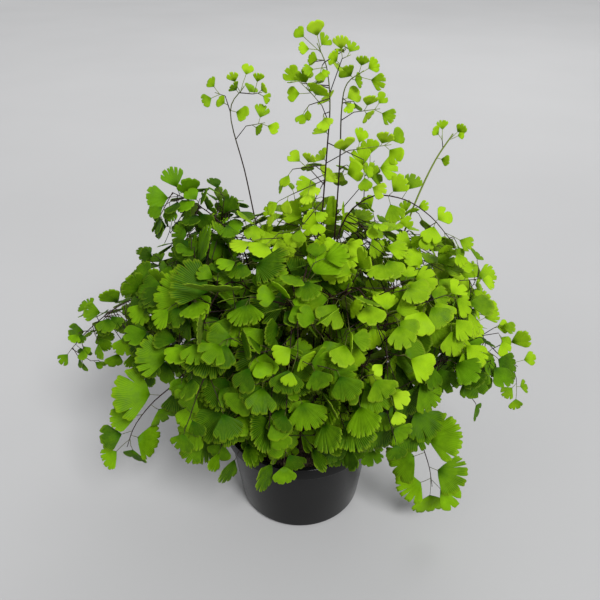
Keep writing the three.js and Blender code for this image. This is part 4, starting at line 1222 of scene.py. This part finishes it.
def lump(draw, size):
    """A small uneven grain: an octahedron with its points drawn in and out."""
    axes = np.vstack([np.eye(3), -np.eye(3)]) * size
    points = axes * (0.6 + 0.6 * np.array([[draw()] for _ in range(6)]))
    points += 0.3 * size * np.array([[draw() - 0.5 for _ in range(3)] for _ in range(6)])
    faces = [[0, 1, 2], [1, 3, 2], [3, 4, 2], [4, 0, 2], [1, 0, 5], [3, 1, 5], [4, 3, 5], [0, 4, 5]]
    return points, faces


def soil_wave(x, y):
    return sum(h * np.sin(math.tau * x / a + 1) * np.cos(math.tau * y / b) for h, a, b in SOIL_WAVES)


def make_soil():
    draw = seeded(31)
    soil = Mesh("tone")
    low, side = FOOT_RECESS + WALL + GAP, wall_radius(SOIL_TOP) - WALL - 2 * GAP
    inside = [(r, SOIL_TOP) for r in np.arange(side - 1, 1, -1)]
    base = wall_radius(low + CORNER) - WALL - 2 * GAP
    profile = [(0, low), (base - CORNER, low), (base, low + CORNER), (side, SOIL_TOP), *inside, (0, SOIL_TOP)]
    points, faces = lathe(profile, ROUND_SIDES)
    x, y, reach = points[:, 0], points[:, 1], np.hypot(points[:, 0], points[:, 1])
    rise = soil_wave(x, y)
    rise += GRAIN * np.array([noise.noise(p * 0.7) + noise.noise(p * 1.6) / 2 for p in map(Vector, points)])
    hollow = np.clip(CROWN_RADIUS - 2 - reach, 0, HOLLOW)
    on_top = points[:, 2] > SOIL_TOP - 1
    points[:, 2] += on_top * (np.clip((side - reach) / 2, 0, 1) * rise - hollow)
    soil.add(points, faces, tone=0.5)
    for _ in range(CRUMBS):
        turn, out = math.tau * draw(), CRUMBS_FROM + (side - 2 - CRUMBS_FROM) * math.sqrt(draw())
        grain, sides = lump(draw, 0.5 + 1.3 * draw() ** 2)
        at = out * around(turn)
        at[2] = SOIL_TOP + soil_wave(at[0], at[1])
        soil.add(grain + at, sides, [True] * 8, tone=draw())
    settle(soil.build("potting_mix", soil_material()), "soil", "soil")


def make_crown():
    draw = seeded(47)
    crown = Mesh("tone")
    arc = np.linspace(-math.pi / 2, math.pi / 2, 44)
    profile = [(math.cos(a), math.sin(a)) for a in arc]
    points, faces = lathe(profile, 110)
    turns = np.arctan2(points[:, 1], points[:, 0])
    rough = np.array([noise.noise(p * 7) + noise.noise(p * 17) / 2 for p in map(Vector, points)])
    lumps = CROWN_RADIUS * (0.97 + LUMP_SHARE * np.sin(CROWN_LUMPS * turns) + 0.05 * rough)
    heights = np.where(points[:, 2] > 0, CROWN_TOP - SOIL_TOP, CROWN_DEPTH)
    crown.add(np.column_stack([points[:, 0] * lumps, points[:, 1] * lumps,
                               SOIL_TOP + points[:, 2] * heights * (0.9 + 0.35 * rough)]), faces, tone=0.4)
    for k in range(OLD_STEMS + SCALES):
        turn, out = math.tau * draw(), math.sqrt(draw())
        at = out * around(turn) * (CROWN_RADIUS - 3)
        at[2] = SOIL_TOP - 0.5 + (CROWN_TOP - SOIL_TOP) * math.sqrt(1 - 0.9 * out * out) * 0.9
        away = unit(vec([at[0] + 9 * (draw() - 0.5), at[1] + 9 * (draw() - 0.5), 14 + 16 * draw()]))
        if k < OLD_STEMS:
            points, faces, _ = tube([at - 2 * away, at + (2 + 7 * draw()) * away], [0.75, 0.6], 7)
            crown.add(points, faces, tone=0.7 + 0.3 * draw())
            continue
        reach, half = 1.6 + 2.2 * draw(), 0.25 + 0.2 * draw()
        side = half * square_to(vec([draw() - 0.5, draw() - 0.5, 0.1]), away)
        thick = 0.12 * unit(cross(away, side))
        points = [at - side, at + side, at + reach * away + 0.4 * DOWN, at + reach / 2 * away + thick]
        crown.add(points, [[0, 2, 1], [0, 1, 3], [1, 2, 3], [2, 0, 3]], [True] * 4, tone=draw())
    settle(crown.build("crown_and_scales", crown_material()), "crown", "crown")


make_pot()
make_soil()
make_crown()

# ---- floor, light and camera
FLOOR_HALF = 30000
KEY_SPREAD = 20  # degrees of sky that the main light fills
CENTRE = (0, 0, 0.13)  # in metres, as are the places of the lights and the camera
SKY = (0.97, 0.98, 1, 1)
SKY_STRENGTH = 0.55
LENS = 37.2
CAMERA_AT = (0, -0.311, 0.348)
CAMERA_DOWN = 32  # degrees that the camera looks down

floor = Mesh()
corners = ((-1, -1), (1, -1), (1, 1), (-1, 1))
floor.add([(x * FLOOR_HALF, y * FLOOR_HALF, 0) for x, y in corners], [[0, 1, 2, 3]])
floor.build("floor", floor_material())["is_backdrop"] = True


def add_light(name, kind, place, power):
    """A light that shines at the centre."""
    light = bpy.data.lights.new(name, kind)
    light.energy = power
    lamp = linked(name, light)
    lamp.location = place
    towards = vec(CENTRE) - vec(place)
    lamp.rotation_euler = (math.acos(-towards[2] / np.linalg.norm(towards)), 0,
                           math.atan2(-towards[0], towards[1]))
    return light


key = add_light("key", "SUN", (0.9, -1.6, 2.0), 3.8)
key.angle = math.radians(KEY_SPREAD)
for name, place, size, power in (("fill", (-1.6, -1.4, 1.0), 1.4, 8), ("back", (0.5, 1.6, 1.6), 1.2, 12)):
    lamp = add_light(name, "AREA", place, power)
    lamp.shape, lamp.size = "DISK", size

world = bpy.data.worlds.new("studio")
scene.world = world
world.use_nodes = True
background = world.node_tree.nodes["Background"].inputs
background["Color"].default_value = SKY
background["Strength"].default_value = SKY_STRENGTH

camera = linked("camera", bpy.data.cameras.new("camera"))
camera.data.lens = LENS
camera.location = CAMERA_AT
camera.rotation_euler = (math.radians(90 - CAMERA_DOWN), 0, 0)
scene.camera = camera
scene.view_settings.view_transform = "Standard"
scene.cycles.use_denoising = True

# ---- sizes for comparison
boxes = {"cad": CAD_BOX, "visual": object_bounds()}
{key: [list(map(float, corner)) for corner in box] for key, box in boxes.items()}
